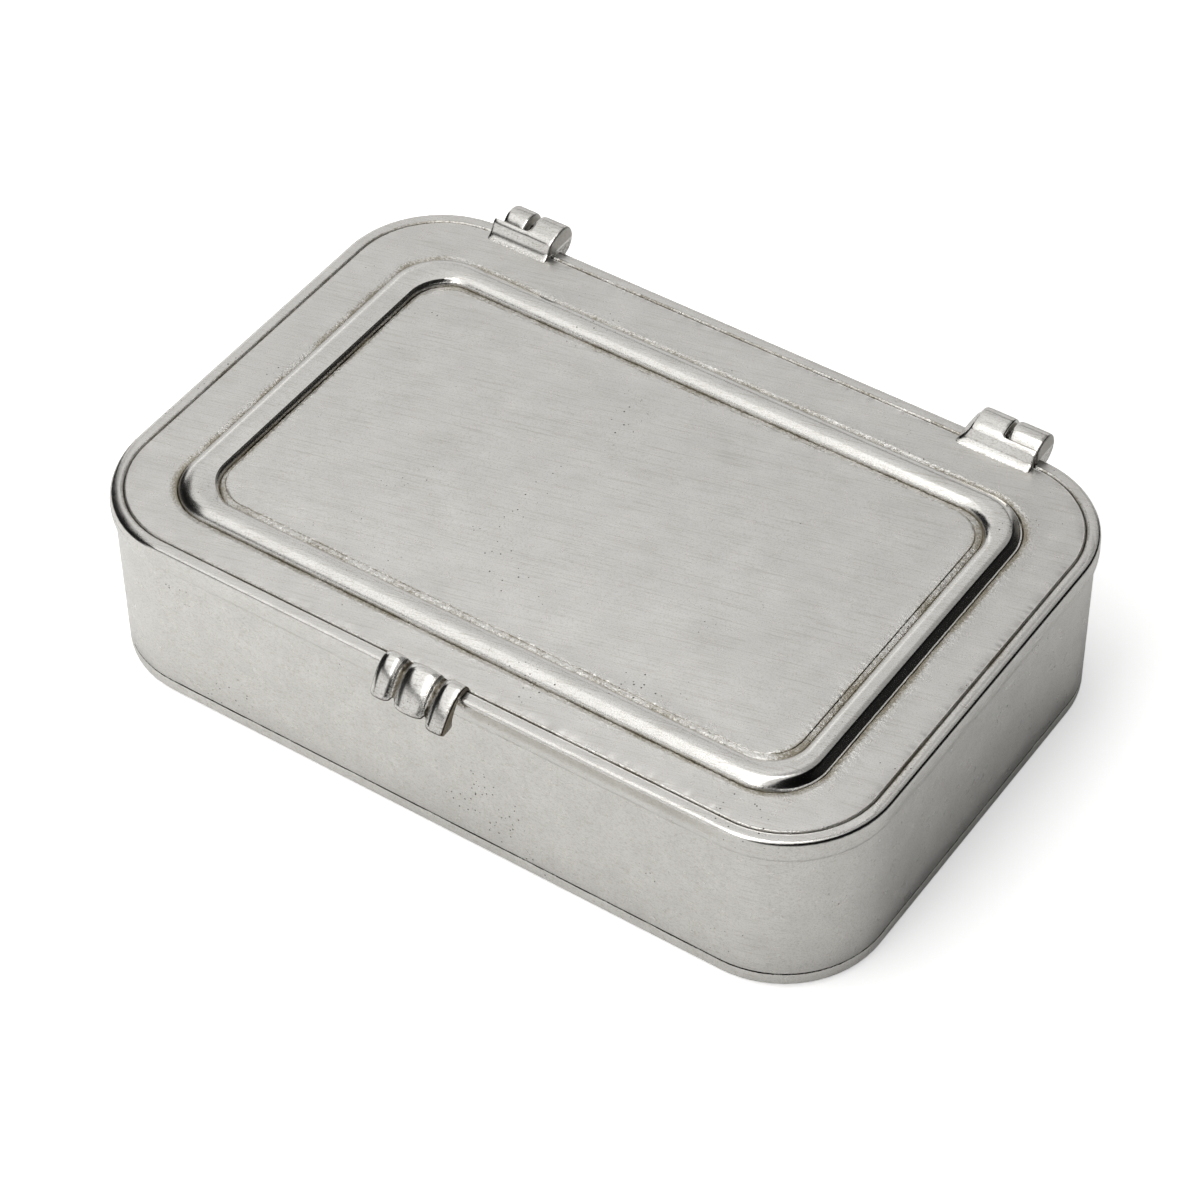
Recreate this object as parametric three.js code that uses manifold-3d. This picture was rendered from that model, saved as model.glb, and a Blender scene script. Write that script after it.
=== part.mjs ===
// A cast pewter match box: a rounded oblong box, a lid let into its rim, two pin hinges and a thumb tab.
// Millimetres. +Z up, -Y is the front with the tab, the hinges are at +Y.
// The origin is the centre of the underside.
import * as THREE from 'three';
import { mergeVertices } from 'three/addons/utils/BufferGeometryUtils.js';
import Module from 'manifold-3d';

// Overall size of the closed box, over the rim
const BOX_LENGTH = 120;
const BOX_DEPTH = 80;
const BOX_HEIGHT = 28;
const RIM_CORNER_RADIUS = 15.5;

// Base plate and wall, soldered together at a visible seam
const BASE_THICKNESS = 2.6;
const BASE_EDGE_RADIUS = 1.2;
const WALL_THICKNESS = 2.2;
const SEAM_CHAMFER = 0.15;

// Rim frame, a little wider than the wall, with the ledge that the lid lies on
const RIM_OVERHANG = 0.5;
const RIM_STRIP_WIDTH = 2.0;
const RIM_EDGE_RADIUS = 0.6;
const RIM_FOOT_RADIUS = 0.25;
const RIM_INNER_CHAMFER = 0.4;
const LEDGE_WIDTH = 1.9;

// Lid plate, flush with the rim, with a raised bead round its panel, set a little to the front
const LID_THICKNESS = 1.8;
const LID_SIDE_GAP = 0.3;
const LID_SEAT_GAP = 0.3;
const LID_EDGE_RADIUS = 0.3;
const BEAD_SIDE_INSET = 7.2;
const BEAD_BACK_INSET = 7.5;
const BEAD_FRONT_INSET = 5.5;
const BEAD_WIDTH = 4.4;
const BEAD_HEIGHT = 1.1;
const BEAD_CORNER_RADIUS = 6.9;
const TROUGH_WIDTH = 0.7;
const TROUGH_DEPTH = 0.25;

// Hinges: one lid knuckle and one body knuckle each, on a hidden pin
const HINGE_FROM_END = 20.6;
const HINGE_WIDTH = 10.2;
const AXIS_BEHIND_RIM = 0.9;
const AXIS_ABOVE_RIM = 0.4;
const KNUCKLE_RADIUS = 2.65;
const KNUCKLE_SPLIT_GAP = 0.6;
const KNUCKLE_RUN_GAP = 0.35;
const KNUCKLE_END_WALL = 0.9;
const PIN_RADIUS = 0.7;
const PIN_CLEARANCE = 0.08;
const PIN_END_GAP = 0.2;
const NOTCH_SIDE_GAP = 0.3;
const NOTCH_FLOOR_WALL = 0.8;
const LUG_REACH = 1.4;
const LUG_RIDGE_WALL = 0.4;
const LUG_HOLLOW = 0.4;
const LUG_SHOULDER_ANGLE = 156;
const LUG_RIDGE_ANGLE = 136;
const LUG_CREST_ANGLE = 114;

// Thumb tab: three lobes side by side, let into the lid's front edge and curling over the rim.
// A lobe's reach is measured forwards from the rim, and its drop down from the rim's top.
const TAB_CENTRE_X = -0.85;
const LEFT_LOBE_WIDTH = 2.9;
const LEFT_LOBE_REACH = 2.9;
const LEFT_LOBE_DROP = 3.4;
const MIDDLE_LOBE_WIDTH = 4.3;
const MIDDLE_LOBE_REACH = 3.1;
const MIDDLE_LOBE_DROP = 2.7;
const RIGHT_LOBE_WIDTH = 2.7;
const RIGHT_LOBE_REACH = 4.1;
const RIGHT_LOBE_DROP = 3.3;
const TAB_GROOVE_WIDTH = 1.2;
const TAB_GROOVE_DEPTH = 0.45;
const TAB_GROOVE_SLOPE = 0.15;
const TAB_CROWN = 0.3;
const TAB_ROOT_LENGTH = 1.5;
const TAB_ROOT_DEPTH = 0.9;
const TAB_CREST = 1.25;
const TAB_TIP_THICKNESS = 1.3;
const TAB_CLEARANCE = 0.3;

// How far a cut runs past the faces that it opens
const CUT_OVERRUN = 1;

// Fineness of the round shapes
const CORNER_STEPS = 9;
const BEAD_STEPS = 6;
const KNUCKLE_SIDES = 32;
const PIN_SIDES = 24;
const CURVE_STEPS = 4;
const TAB_CROWN_STEPS = [-1, -0.9, -0.7, -0.35, 0.35, 0.7, 0.9, 1];

// Heights and places worked out from the sizes above
const LID_BOTTOM = BOX_HEIGHT - LID_THICKNESS;
const LEDGE_TOP = LID_BOTTOM - LID_SEAT_GAP;
const RIM_BACK = BOX_DEPTH / 2;
const HINGE_X = BOX_LENGTH / 2 - HINGE_FROM_END;
const AXIS_Y = RIM_BACK + AXIS_BEHIND_RIM;
const AXIS_Z = BOX_HEIGHT + AXIS_ABOVE_RIM;
const LUG_CLEARING = KNUCKLE_RADIUS + KNUCKLE_RUN_GAP;
const NOTCH_FLOOR = AXIS_Z - LUG_CLEARING;
const RIM_BOTTOM = NOTCH_FLOOR - NOTCH_FLOOR_WALL;
const LID_INSET = RIM_STRIP_WIDTH + LID_SIDE_GAP;

const RIM_OUTLINE = { halfX: BOX_LENGTH / 2, halfY: BOX_DEPTH / 2, radius: RIM_CORNER_RADIUS };
const WALL_OUTLINE = shrink(RIM_OUTLINE, RIM_OVERHANG);
const LID_OUTLINE = shrink(RIM_OUTLINE, LID_INSET);
const BEAD_OUTLINE = {
  halfX: LID_OUTLINE.halfX - BEAD_SIDE_INSET - BEAD_WIDTH / 2,
  halfY: LID_OUTLINE.halfY - (BEAD_BACK_INSET + BEAD_FRONT_INSET + BEAD_WIDTH) / 2,
  radius: BEAD_CORNER_RADIUS,
};
const BEAD_CENTRE_Y = (BEAD_FRONT_INSET - BEAD_BACK_INSET) / 2;
const TAB_LOBES = [
  { width: LEFT_LOBE_WIDTH, reach: LEFT_LOBE_REACH, drop: LEFT_LOBE_DROP },
  { width: MIDDLE_LOBE_WIDTH, reach: MIDDLE_LOBE_REACH, drop: MIDDLE_LOBE_DROP },
  { width: RIGHT_LOBE_WIDTH, reach: RIGHT_LOBE_REACH, drop: RIGHT_LOBE_DROP },
];

const wasm = await Module();
wasm.setup();

// The same outline, smaller by an inset on every side
function shrink(outline, inset) {
  return {
    halfX: outline.halfX - inset,
    halfY: outline.halfY - inset,
    radius: Math.max(outline.radius - inset, 0.2),
  };
}

// Points round an oblong with round corners, counter-clockwise seen from above
function loopPoints({ halfX, halfY, radius }) {
  const corners = [[1, 1, 0], [-1, 1, 1], [-1, -1, 2], [1, -1, 3]];
  const points = [];
  for (const [signX, signY, quarter] of corners) {
    for (let step = 0; step <= CORNER_STEPS; step += 1) {
      const angle = (quarter + step / CORNER_STEPS) * Math.PI / 2;
      const x = signX * (halfX - radius) + radius * Math.cos(angle);
      const y = signY * (halfY - radius) + radius * Math.sin(angle);
      points.push([x, y]);
    }
  }
  return points;
}

// A solid from its corner points and triangles
function solidFrom(vertices, triangles) {
  return new wasm.Manifold(new wasm.Mesh({
    numProp: 3,
    vertProperties: new Float32Array(vertices),
    triVerts: new Uint32Array(triangles),
  }));
}

// A solid from a closed three.js geometry, without triangles that have shrunk to a line
function solidOf(geometry) {
  const bare = geometry.clone();
  bare.deleteAttribute('normal');
  bare.deleteAttribute('uv');
  const merged = mergeVertices(bare, 1e-4);
  const triangles = [];
  for (let first = 0; first < merged.index.count; first += 3) {
    const [a, b, c] = merged.index.array.slice(first, first + 3);
    if (a !== b && b !== c && c !== a) {
      triangles.push(a, b, c);
    }
  }
  return solidFrom(merged.attributes.position.array, triangles);
}

// Side walls between the loops of a section, each given as [inset, z] and listed up the outside
function bandTriangles(count, rings, closed) {
  const triangles = [];
  const last = closed ? rings : rings - 1;
  for (let ring = 0; ring < last; ring += 1) {
    const here = ring * count;
    const above = ((ring + 1) % rings) * count;
    for (let point = 0; point < count; point += 1) {
      const next = (point + 1) % count;
      triangles.push(here + point, here + next, above + next);
      triangles.push(here + point, above + next, above + point);
    }
  }
  return triangles;
}

function sectionVertices(outline, section) {
  return section.flatMap(([inset, z]) => loopPoints(shrink(outline, inset)).flatMap(([x, y]) => [x, y, z]));
}

// A ring-shaped solid: a closed section carried round an outline
function ringSolid(outline, section) {
  const count = loopPoints(outline).length;
  return solidFrom(sectionVertices(outline, section), bandTriangles(count, section.length, true));
}

// A plate with the outline's shape: a stack of loops closed by a fan below and above
function plateSolid(outline, section) {
  const count = loopPoints(outline).length;
  const vertices = sectionVertices(outline, section);
  const triangles = bandTriangles(count, section.length, false);
  const bottomCentre = vertices.length / 3;
  vertices.push(0, 0, section[0][1]);
  const topCentre = bottomCentre + 1;
  vertices.push(0, 0, section[section.length - 1][1]);
  const topStart = (section.length - 1) * count;
  for (let point = 0; point < count; point += 1) {
    const next = (point + 1) % count;
    triangles.push(bottomCentre, next, point);
    triangles.push(topCentre, topStart + point, topStart + next);
  }
  return solidFrom(vertices, triangles);
}

// Quarter-round steps of a section, from one [inset, z] to another round a centre
function roundEdge(centreInset, centreZ, radius, fromDegrees, toDegrees, steps) {
  const points = [];
  for (let step = 0; step <= steps; step += 1) {
    const angle = THREE.MathUtils.degToRad(fromDegrees + (toDegrees - fromDegrees) * step / steps);
    points.push([centreInset - radius * Math.cos(angle), centreZ + radius * Math.sin(angle)]);
  }
  return points;
}

// A box-shaped solid between two corners
function boxSolid([x0, y0, z0], [x1, y1, z1]) {
  const geometry = new THREE.BoxGeometry(Math.abs(x1 - x0), y1 - y0, z1 - z0);
  geometry.translate((x0 + x1) / 2, (y0 + y1) / 2, (z0 + z1) / 2);
  return solidOf(geometry);
}

// A round bar along X
function barSolid(radius, x0, x1, sides) {
  const geometry = new THREE.CylinderGeometry(radius, radius, Math.abs(x1 - x0), sides);
  geometry.rotateZ(Math.PI / 2);
  geometry.translate((x0 + x1) / 2, 0, 0);
  return solidOf(geometry);
}

// A profile drawn in the YZ plane and carried along X
function alongX(shape, x0, x1) {
  const geometry = new THREE.ExtrudeGeometry(shape, {
    depth: Math.abs(x1 - x0),
    curveSegments: CURVE_STEPS,
    bevelEnabled: false,
  });
  const axes = new THREE.Matrix4().makeBasis(
    new THREE.Vector3(0, 1, 0), new THREE.Vector3(0, 0, 1), new THREE.Vector3(1, 0, 0));
  geometry.applyMatrix4(axes);
  geometry.translate(Math.min(x0, x1), 0, 0);
  return solidOf(geometry);
}

// The base plate, its lower edge rounded over
function basePlate() {
  const edge = roundEdge(BASE_EDGE_RADIUS, BASE_EDGE_RADIUS, BASE_EDGE_RADIUS, -90, 0, 4);
  return plateSolid(WALL_OUTLINE, [
    ...edge,
    [0, BASE_THICKNESS - SEAM_CHAMFER],
    [SEAM_CHAMFER, BASE_THICKNESS],
  ]);
}

// The upright wall between the base plate and the rim frame
function wallFrame() {
  return ringSolid(WALL_OUTLINE, [
    [SEAM_CHAMFER, BASE_THICKNESS],
    [0, BASE_THICKNESS + SEAM_CHAMFER],
    [0, RIM_BOTTOM],
    [WALL_THICKNESS, RIM_BOTTOM],
    [WALL_THICKNESS, BASE_THICKNESS],
  ]);
}

// The rim frame, with a ledge under the lid and a notch for each hinge
function rimFrame() {
  const inner = RIM_STRIP_WIDTH + LEDGE_WIDTH;
  const ring = ringSolid(RIM_OUTLINE, [
    [RIM_FOOT_RADIUS, RIM_BOTTOM],
    [0, RIM_BOTTOM + RIM_FOOT_RADIUS],
    ...roundEdge(RIM_EDGE_RADIUS, BOX_HEIGHT - RIM_EDGE_RADIUS, RIM_EDGE_RADIUS, 0, 90, 4),
    [RIM_STRIP_WIDTH - RIM_INNER_CHAMFER, BOX_HEIGHT],
    [RIM_STRIP_WIDTH, BOX_HEIGHT - RIM_INNER_CHAMFER],
    [RIM_STRIP_WIDTH, LEDGE_TOP],
    [inner, LEDGE_TOP],
    [inner, RIM_BOTTOM],
  ]);
  return [-1, 1].reduce((rim, side) => rim.subtract(hingeNotch(side)), ring);
}

// The cut in the back rim that one hinge's knuckles lie in
function hingeNotch(side) {
  const centre = side * HINGE_X;
  const inner = centre - side * (HINGE_WIDTH / 2 + NOTCH_SIDE_GAP);
  const outer = centre + side * HINGE_WIDTH / 2;
  return boxSolid(
    [Math.min(inner, outer), RIM_BACK - RIM_STRIP_WIDTH - CUT_OVERRUN, NOTCH_FLOOR],
    [Math.max(inner, outer), RIM_BACK + CUT_OVERRUN, BOX_HEIGHT + CUT_OVERRUN]);
}

// The lid plate with its bead, the troughs along the bead and the rebate for the thumb tab
function lidPlate() {
  const edge = roundEdge(LID_EDGE_RADIUS, -LID_EDGE_RADIUS, LID_EDGE_RADIUS, 0, 90, 2);
  const plate = plateSolid(LID_OUTLINE, [[0, -LID_THICKNESS], ...edge]);
  const troughs = [-BEAD_WIDTH / 2, BEAD_WIDTH / 2].map((middle) => ringSolid(BEAD_OUTLINE, [
    [middle, -TROUGH_DEPTH],
    [middle - TROUGH_WIDTH / 2, TROUGH_DEPTH / 2],
    [middle + TROUGH_WIDTH / 2, TROUGH_DEPTH / 2],
  ]).translate([0, BEAD_CENTRE_Y, 0]));
  const [left, right] = tabEnds();
  const front = -LID_OUTLINE.halfY;
  const rebate = boxSolid(
    [left, front - CUT_OVERRUN, -TAB_ROOT_DEPTH],
    [right, front + TAB_ROOT_LENGTH, CUT_OVERRUN]);
  return troughs
    .reduce((lid, trough) => lid.subtract(trough), plate)
    .add(beadRing().translate([0, BEAD_CENTRE_Y, 0]))
    .subtract(rebate);
}

// The raised bead, half an ellipse in section and sunk into the plate
function beadRing() {
  const section = [];
  for (let step = 0; step <= BEAD_STEPS; step += 1) {
    const angle = Math.PI * step / BEAD_STEPS;
    const inset = -(BEAD_WIDTH / 2 - TROUGH_WIDTH / 4) * Math.cos(angle);
    section.push([inset, BEAD_HEIGHT * Math.sin(angle) - TROUGH_DEPTH / 2]);
  }
  const half = BEAD_WIDTH / 2 - TROUGH_WIDTH / 4;
  section.push([half, -LID_THICKNESS / 2], [-half, -LID_THICKNESS / 2]);
  return ringSolid(BEAD_OUTLINE, section);
}

// The front of a lid lug, from its foot on the lid up a hollow ramp to its ridge in front of the axis
function rampShape() {
  const lidTop = -AXIS_ABOVE_RIM;
  const foot = lugFootY();
  const shoulder = onCircle(LUG_CLEARING + LUG_RIDGE_WALL, LUG_SHOULDER_ANGLE);
  const bend = onCircle(LUG_CLEARING + LUG_RIDGE_WALL, (LUG_SHOULDER_ANGLE + LUG_RIDGE_ANGLE) / 2);
  const ridge = onCircle(LUG_CLEARING, LUG_RIDGE_ANGLE);
  const shape = new THREE.Shape();
  shape.moveTo(foot, lidTop);
  shape.quadraticCurveTo(shoulder.x - LUG_HOLLOW, lidTop + LUG_HOLLOW / 2, shoulder.x, shoulder.y);
  shape.quadraticCurveTo(bend.x, bend.y, ridge.x, ridge.y);
  return shape;
}

// Where a lug's ramp starts on the lid, seen from the hinge axis
function lugFootY() {
  return LID_OUTLINE.halfY - LUG_REACH - AXIS_Y;
}

function onCircle(radius, degrees) {
  const angle = THREE.MathUtils.degToRad(degrees);
  return new THREE.Vector2(radius * Math.cos(angle), radius * Math.sin(angle));
}

// One lid lug: a ramp over the hinge's whole width and a knuckle over its inner half
function lidLug(side) {
  const lidTop = -AXIS_ABOVE_RIM;
  const inner = -side * HINGE_WIDTH / 2;
  const outer = side * HINGE_WIDTH / 2;
  const split = -side * KNUCKLE_SPLIT_GAP / 2;

  const ramp = rampShape();
  const ridgeAngle = THREE.MathUtils.degToRad(LUG_RIDGE_ANGLE);
  const endAngle = Math.PI + Math.asin(AXIS_ABOVE_RIM / LUG_CLEARING);
  ramp.absarc(0, 0, LUG_CLEARING, ridgeAngle, endAngle, false);

  const neck = rampShape();
  const crest = onCircle(KNUCKLE_RADIUS, LUG_CREST_ANGLE);
  neck.lineTo(crest.x, crest.y);
  neck.lineTo(0, 0);
  neck.lineTo(0, lidTop);

  const bore = barSolid(PIN_RADIUS + PIN_CLEARANCE, inner + side * KNUCKLE_END_WALL, split + side, PIN_SIDES);
  return alongX(ramp, inner, outer)
    .add(alongX(neck, inner, split))
    .add(barSolid(KNUCKLE_RADIUS, inner, split, KNUCKLE_SIDES))
    .subtract(bore);
}

// One body knuckle with the foot that stands in the rim's notch
function bodyKnuckle(side) {
  const outer = side * HINGE_WIDTH / 2;
  const split = side * KNUCKLE_SPLIT_GAP / 2;
  const footFront = -Math.sqrt(KNUCKLE_RADIUS ** 2 - AXIS_ABOVE_RIM ** 2);
  const foot = boxSolid(
    [Math.min(split, outer), footFront, NOTCH_FLOOR - AXIS_Z],
    [Math.max(split, outer), -AXIS_BEHIND_RIM, 0]);
  const bore = barSolid(PIN_RADIUS + PIN_CLEARANCE, split - side, outer - side * KNUCKLE_END_WALL, PIN_SIDES);
  return barSolid(KNUCKLE_RADIUS, split, outer, KNUCKLE_SIDES).add(foot).subtract(bore);
}

// The pin through both knuckles of a hinge
function hingePin() {
  const half = HINGE_WIDTH / 2 - KNUCKLE_END_WALL - PIN_END_GAP;
  return barSolid(PIN_RADIUS, -half, half, PIN_SIDES);
}

// The side view of the thumb tab, from its root in the lid over the rim to its tip.
// Its outer side is drawn in by a depth.
function tabShape({ depth, reach, drop }) {
  const rimFront = -BOX_DEPTH / 2;
  const lidFront = -LID_OUTLINE.halfY;
  const rootBack = lidFront + TAB_ROOT_LENGTH;
  const noseY = rimFront - reach + depth;
  const crest = TAB_CREST - depth;
  const tipMiddle = rimFront - reach + TAB_TIP_THICKNESS / 2;
  const tipBack = rimFront - reach + TAB_TIP_THICKNESS;
  const tipTop = TAB_TIP_THICKNESS / 2 - drop;
  const shape = new THREE.Shape();
  shape.moveTo(rootBack, -TAB_ROOT_DEPTH);
  shape.lineTo(rootBack, 0);
  shape.lineTo(lidFront, 0);
  shape.quadraticCurveTo(lidFront, crest, rimFront, crest);
  shape.bezierCurveTo(rimFront - reach / 2, crest, noseY, -drop / 8, noseY, tipTop);
  shape.quadraticCurveTo(noseY, -drop, tipMiddle + depth / 2, -drop);
  shape.quadraticCurveTo(tipBack, -drop, tipBack, tipTop);
  shape.bezierCurveTo(tipBack, tipTop / 2, rimFront - TAB_CLEARANCE, TAB_CLEARANCE, rimFront, TAB_CLEARANCE);
  shape.lineTo(rimFront + RIM_STRIP_WIDTH - RIM_INNER_CHAMFER / 2, TAB_CLEARANCE);
  shape.lineTo(lidFront, -TAB_ROOT_DEPTH / 2);
  shape.lineTo(lidFront, -TAB_ROOT_DEPTH);
  return shape;
}

// The two ends of the tab along X
function tabEnds() {
  const lobes = TAB_LOBES.reduce((sum, lobe) => sum + lobe.width, 0);
  const half = (lobes + (TAB_LOBES.length - 1) * TAB_GROOVE_WIDTH) / 2;
  return [TAB_CENTRE_X - half, TAB_CENTRE_X + half];
}

// Places along the tab: crowned lobes, and between two lobes a groove of their mean reach and drop
function tabStations() {
  const stations = [];
  let left = tabEnds()[0];
  TAB_LOBES.forEach(({ width, reach, drop }, index) => {
    for (const across of TAB_CROWN_STEPS) {
      stations.push({ x: left + width * (1 + across) / 2, depth: TAB_CROWN * across ** 4, reach, drop });
    }
    left += width + TAB_GROOVE_WIDTH;
    const next = TAB_LOBES[index + 1];
    if (next) {
      const groove = { depth: TAB_GROOVE_DEPTH, reach: (reach + next.reach) / 2, drop: (drop + next.drop) / 2 };
      stations.push({ x: left - TAB_GROOVE_WIDTH + TAB_GROOVE_SLOPE, ...groove });
      stations.push({ x: left - TAB_GROOVE_SLOPE, ...groove });
    }
  });
  return stations;
}

// The thumb tab: its side view carried along X, drawn in more or less at each station
function thumbTab() {
  const sections = tabStations().map((station) => (
    { x: station.x, points: tabShape(station).getPoints(CURVE_STEPS) }));
  const count = sections[0].points.length;
  const vertices = sections.flatMap(({ x, points }) => points.flatMap((point) => [x, point.x, point.y]));
  const triangles = bandTriangles(count, sections.length, false);
  const lastStart = (sections.length - 1) * count;
  for (const [a, b, c] of THREE.ShapeUtils.triangulateShape(sections[0].points, [])) {
    triangles.push(a, c, b);
  }
  for (const [a, b, c] of THREE.ShapeUtils.triangulateShape(sections[sections.length - 1].points, [])) {
    triangles.push(lastStart + a, lastStart + b, lastStart + c);
  }
  return facingOut(vertices, triangles);
}

// A solid whose faces are turned round if they were listed the wrong way
function facingOut(vertices, triangles) {
  let volume = 0;
  const corner = (index) => new THREE.Vector3().fromArray(vertices, 3 * index);
  for (let first = 0; first < triangles.length; first += 3) {
    const [a, b, c] = triangles.slice(first, first + 3).map(corner);
    volume += a.dot(b.cross(c));
  }
  return solidFrom(vertices, volume < 0 ? triangles.reverse() : triangles);
}

// A named mesh of one pewter piece
function piece(name, solid, color, roughness) {
  const { vertProperties, triVerts } = solid.getMesh();
  const geometry = new THREE.BufferGeometry();
  geometry.setAttribute('position', new THREE.BufferAttribute(new Float32Array(vertProperties), 3));
  geometry.setIndex(new THREE.BufferAttribute(new Uint32Array(triVerts), 1));
  geometry.computeVertexNormals();
  const material = new THREE.MeshStandardMaterial({ color, roughness, metalness: 1 });
  const mesh = new THREE.Mesh(geometry, material);
  mesh.name = name;
  return mesh;
}

const SATIN = 0xbdbab6;
const POLISHED = 0xc9c7c4;
const PIN_STEEL = 0x8f8c86;

const box = new THREE.Group();
box.add(piece('base_plate', basePlate(), SATIN, 0.4));
box.add(piece('wall_frame', wallFrame(), SATIN, 0.35));
box.add(piece('rim_frame', rimFrame(), SATIN, 0.35));

const lid = new THREE.Group();
lid.add(piece('lid_plate', lidPlate(), POLISHED, 0.35));
lid.add(piece('thumb_tab', thumbTab(), POLISHED, 0.25));
lid.position.set(0, 0, BOX_HEIGHT);

for (const side of [-1, 1]) {
  const name = side < 0 ? 'left' : 'right';
  const hinge = new THREE.Group();
  hinge.position.set(side * HINGE_X, AXIS_Y, AXIS_Z);
  hinge.add(piece(`lid_hinge_lug_${name}`, lidLug(side), POLISHED, 0.3));
  hinge.add(piece(`body_hinge_knuckle_${name}`, bodyKnuckle(side), POLISHED, 0.3));
  hinge.add(piece(`hinge_pin_${name}`, hingePin(), PIN_STEEL, 0.45));
  box.add(hinge);
}

const matchBox = new THREE.Group();
matchBox.add(box, lid);
export default matchBox;
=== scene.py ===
"""The looks of a cast pewter match box: its castings as smooth meshes, their finishes, and the studio."""
import logging
import math
from dataclasses import dataclass
from enum import Enum
from functools import cached_property

import bmesh
import bpy
import numpy as np
from mathutils import Matrix, Vector


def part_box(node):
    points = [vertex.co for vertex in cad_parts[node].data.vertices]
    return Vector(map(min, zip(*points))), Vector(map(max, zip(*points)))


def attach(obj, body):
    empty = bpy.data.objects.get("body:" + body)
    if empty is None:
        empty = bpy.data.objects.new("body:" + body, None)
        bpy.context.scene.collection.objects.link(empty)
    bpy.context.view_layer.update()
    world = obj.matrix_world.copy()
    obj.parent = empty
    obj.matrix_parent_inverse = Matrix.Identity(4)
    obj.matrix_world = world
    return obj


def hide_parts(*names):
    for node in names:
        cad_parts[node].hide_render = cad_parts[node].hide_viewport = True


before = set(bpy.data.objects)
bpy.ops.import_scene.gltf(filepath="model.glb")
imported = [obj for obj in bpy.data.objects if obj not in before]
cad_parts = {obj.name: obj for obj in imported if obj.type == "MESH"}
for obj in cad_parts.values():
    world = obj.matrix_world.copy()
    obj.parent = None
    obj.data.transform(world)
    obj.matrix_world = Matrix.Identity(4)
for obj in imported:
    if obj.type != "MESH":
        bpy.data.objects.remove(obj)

LOG = logging.getLogger("match_box")
MM = 0.001
TINY = 1e-6
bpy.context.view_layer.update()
SIDE_NAMES = {-1: "left", 1: "right"}

Piece = bpy.types.Object
Material = bpy.types.Material
Socket = bpy.types.NodeSocket
Point = tuple[float, float]


class Body(Enum):
    """The two bodies that the hinge joins."""

    BOX = "box"
    LID = "lid"


class Slot(Enum):
    """Names for three material slots; nothing in the script uses them."""

    SATIN = "satin_pewter"
    POLISHED = "polished_pewter"
    PIN = "pin_steel"


def linear(hex_colour: str) -> tuple[float, float, float, float]:
    """Turn six hex digits of sRGB, such as "c8c6c2", into linear red, green and blue with an alpha of 1."""
    channels = [int(hex_colour[i:i + 2], 16) / 255 for i in (0, 2, 4)]
    red, green, blue = [c / 12.92 if c <= 0.04045 else ((c + 0.055) / 1.055) ** 2.4 for c in channels]
    return red, green, blue, 1.0


def per_metre(millimetres: float) -> float:
    """Scale of a texture whose pattern repeats about once in that many millimetres."""
    return 1.0 / (millimetres * MM)


def fade(values: np.ndarray, start: float, run: float) -> np.ndarray:
    """Numbers that rise from 0 at a start to 1 at the end of a run; a negative run rises downwards."""
    return np.clip((values - start) / run, 0, 1)


def add_node(tree: bpy.types.NodeTree, kind: str, settings: dict | None = None,
             inputs: dict | None = None) -> bpy.types.Node:
    """Add one shader node.

    Args:
        tree: the node tree it goes into.
        kind: the node's type name without the "ShaderNode" in front.
        settings: attributes of the node.
        inputs: input name or number, and the value or the output socket that feeds it.

    Returns:
        The new node.
    """
    node = tree.nodes.new("ShaderNode" + kind)
    for name, value in (settings or {}).items():
        setattr(node, name, value)
    for name, value in (inputs or {}).items():
        if isinstance(value, Socket):
            tree.links.new(value, node.inputs[name])
        else:
            node.inputs[name].default_value = value
    return node


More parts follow.
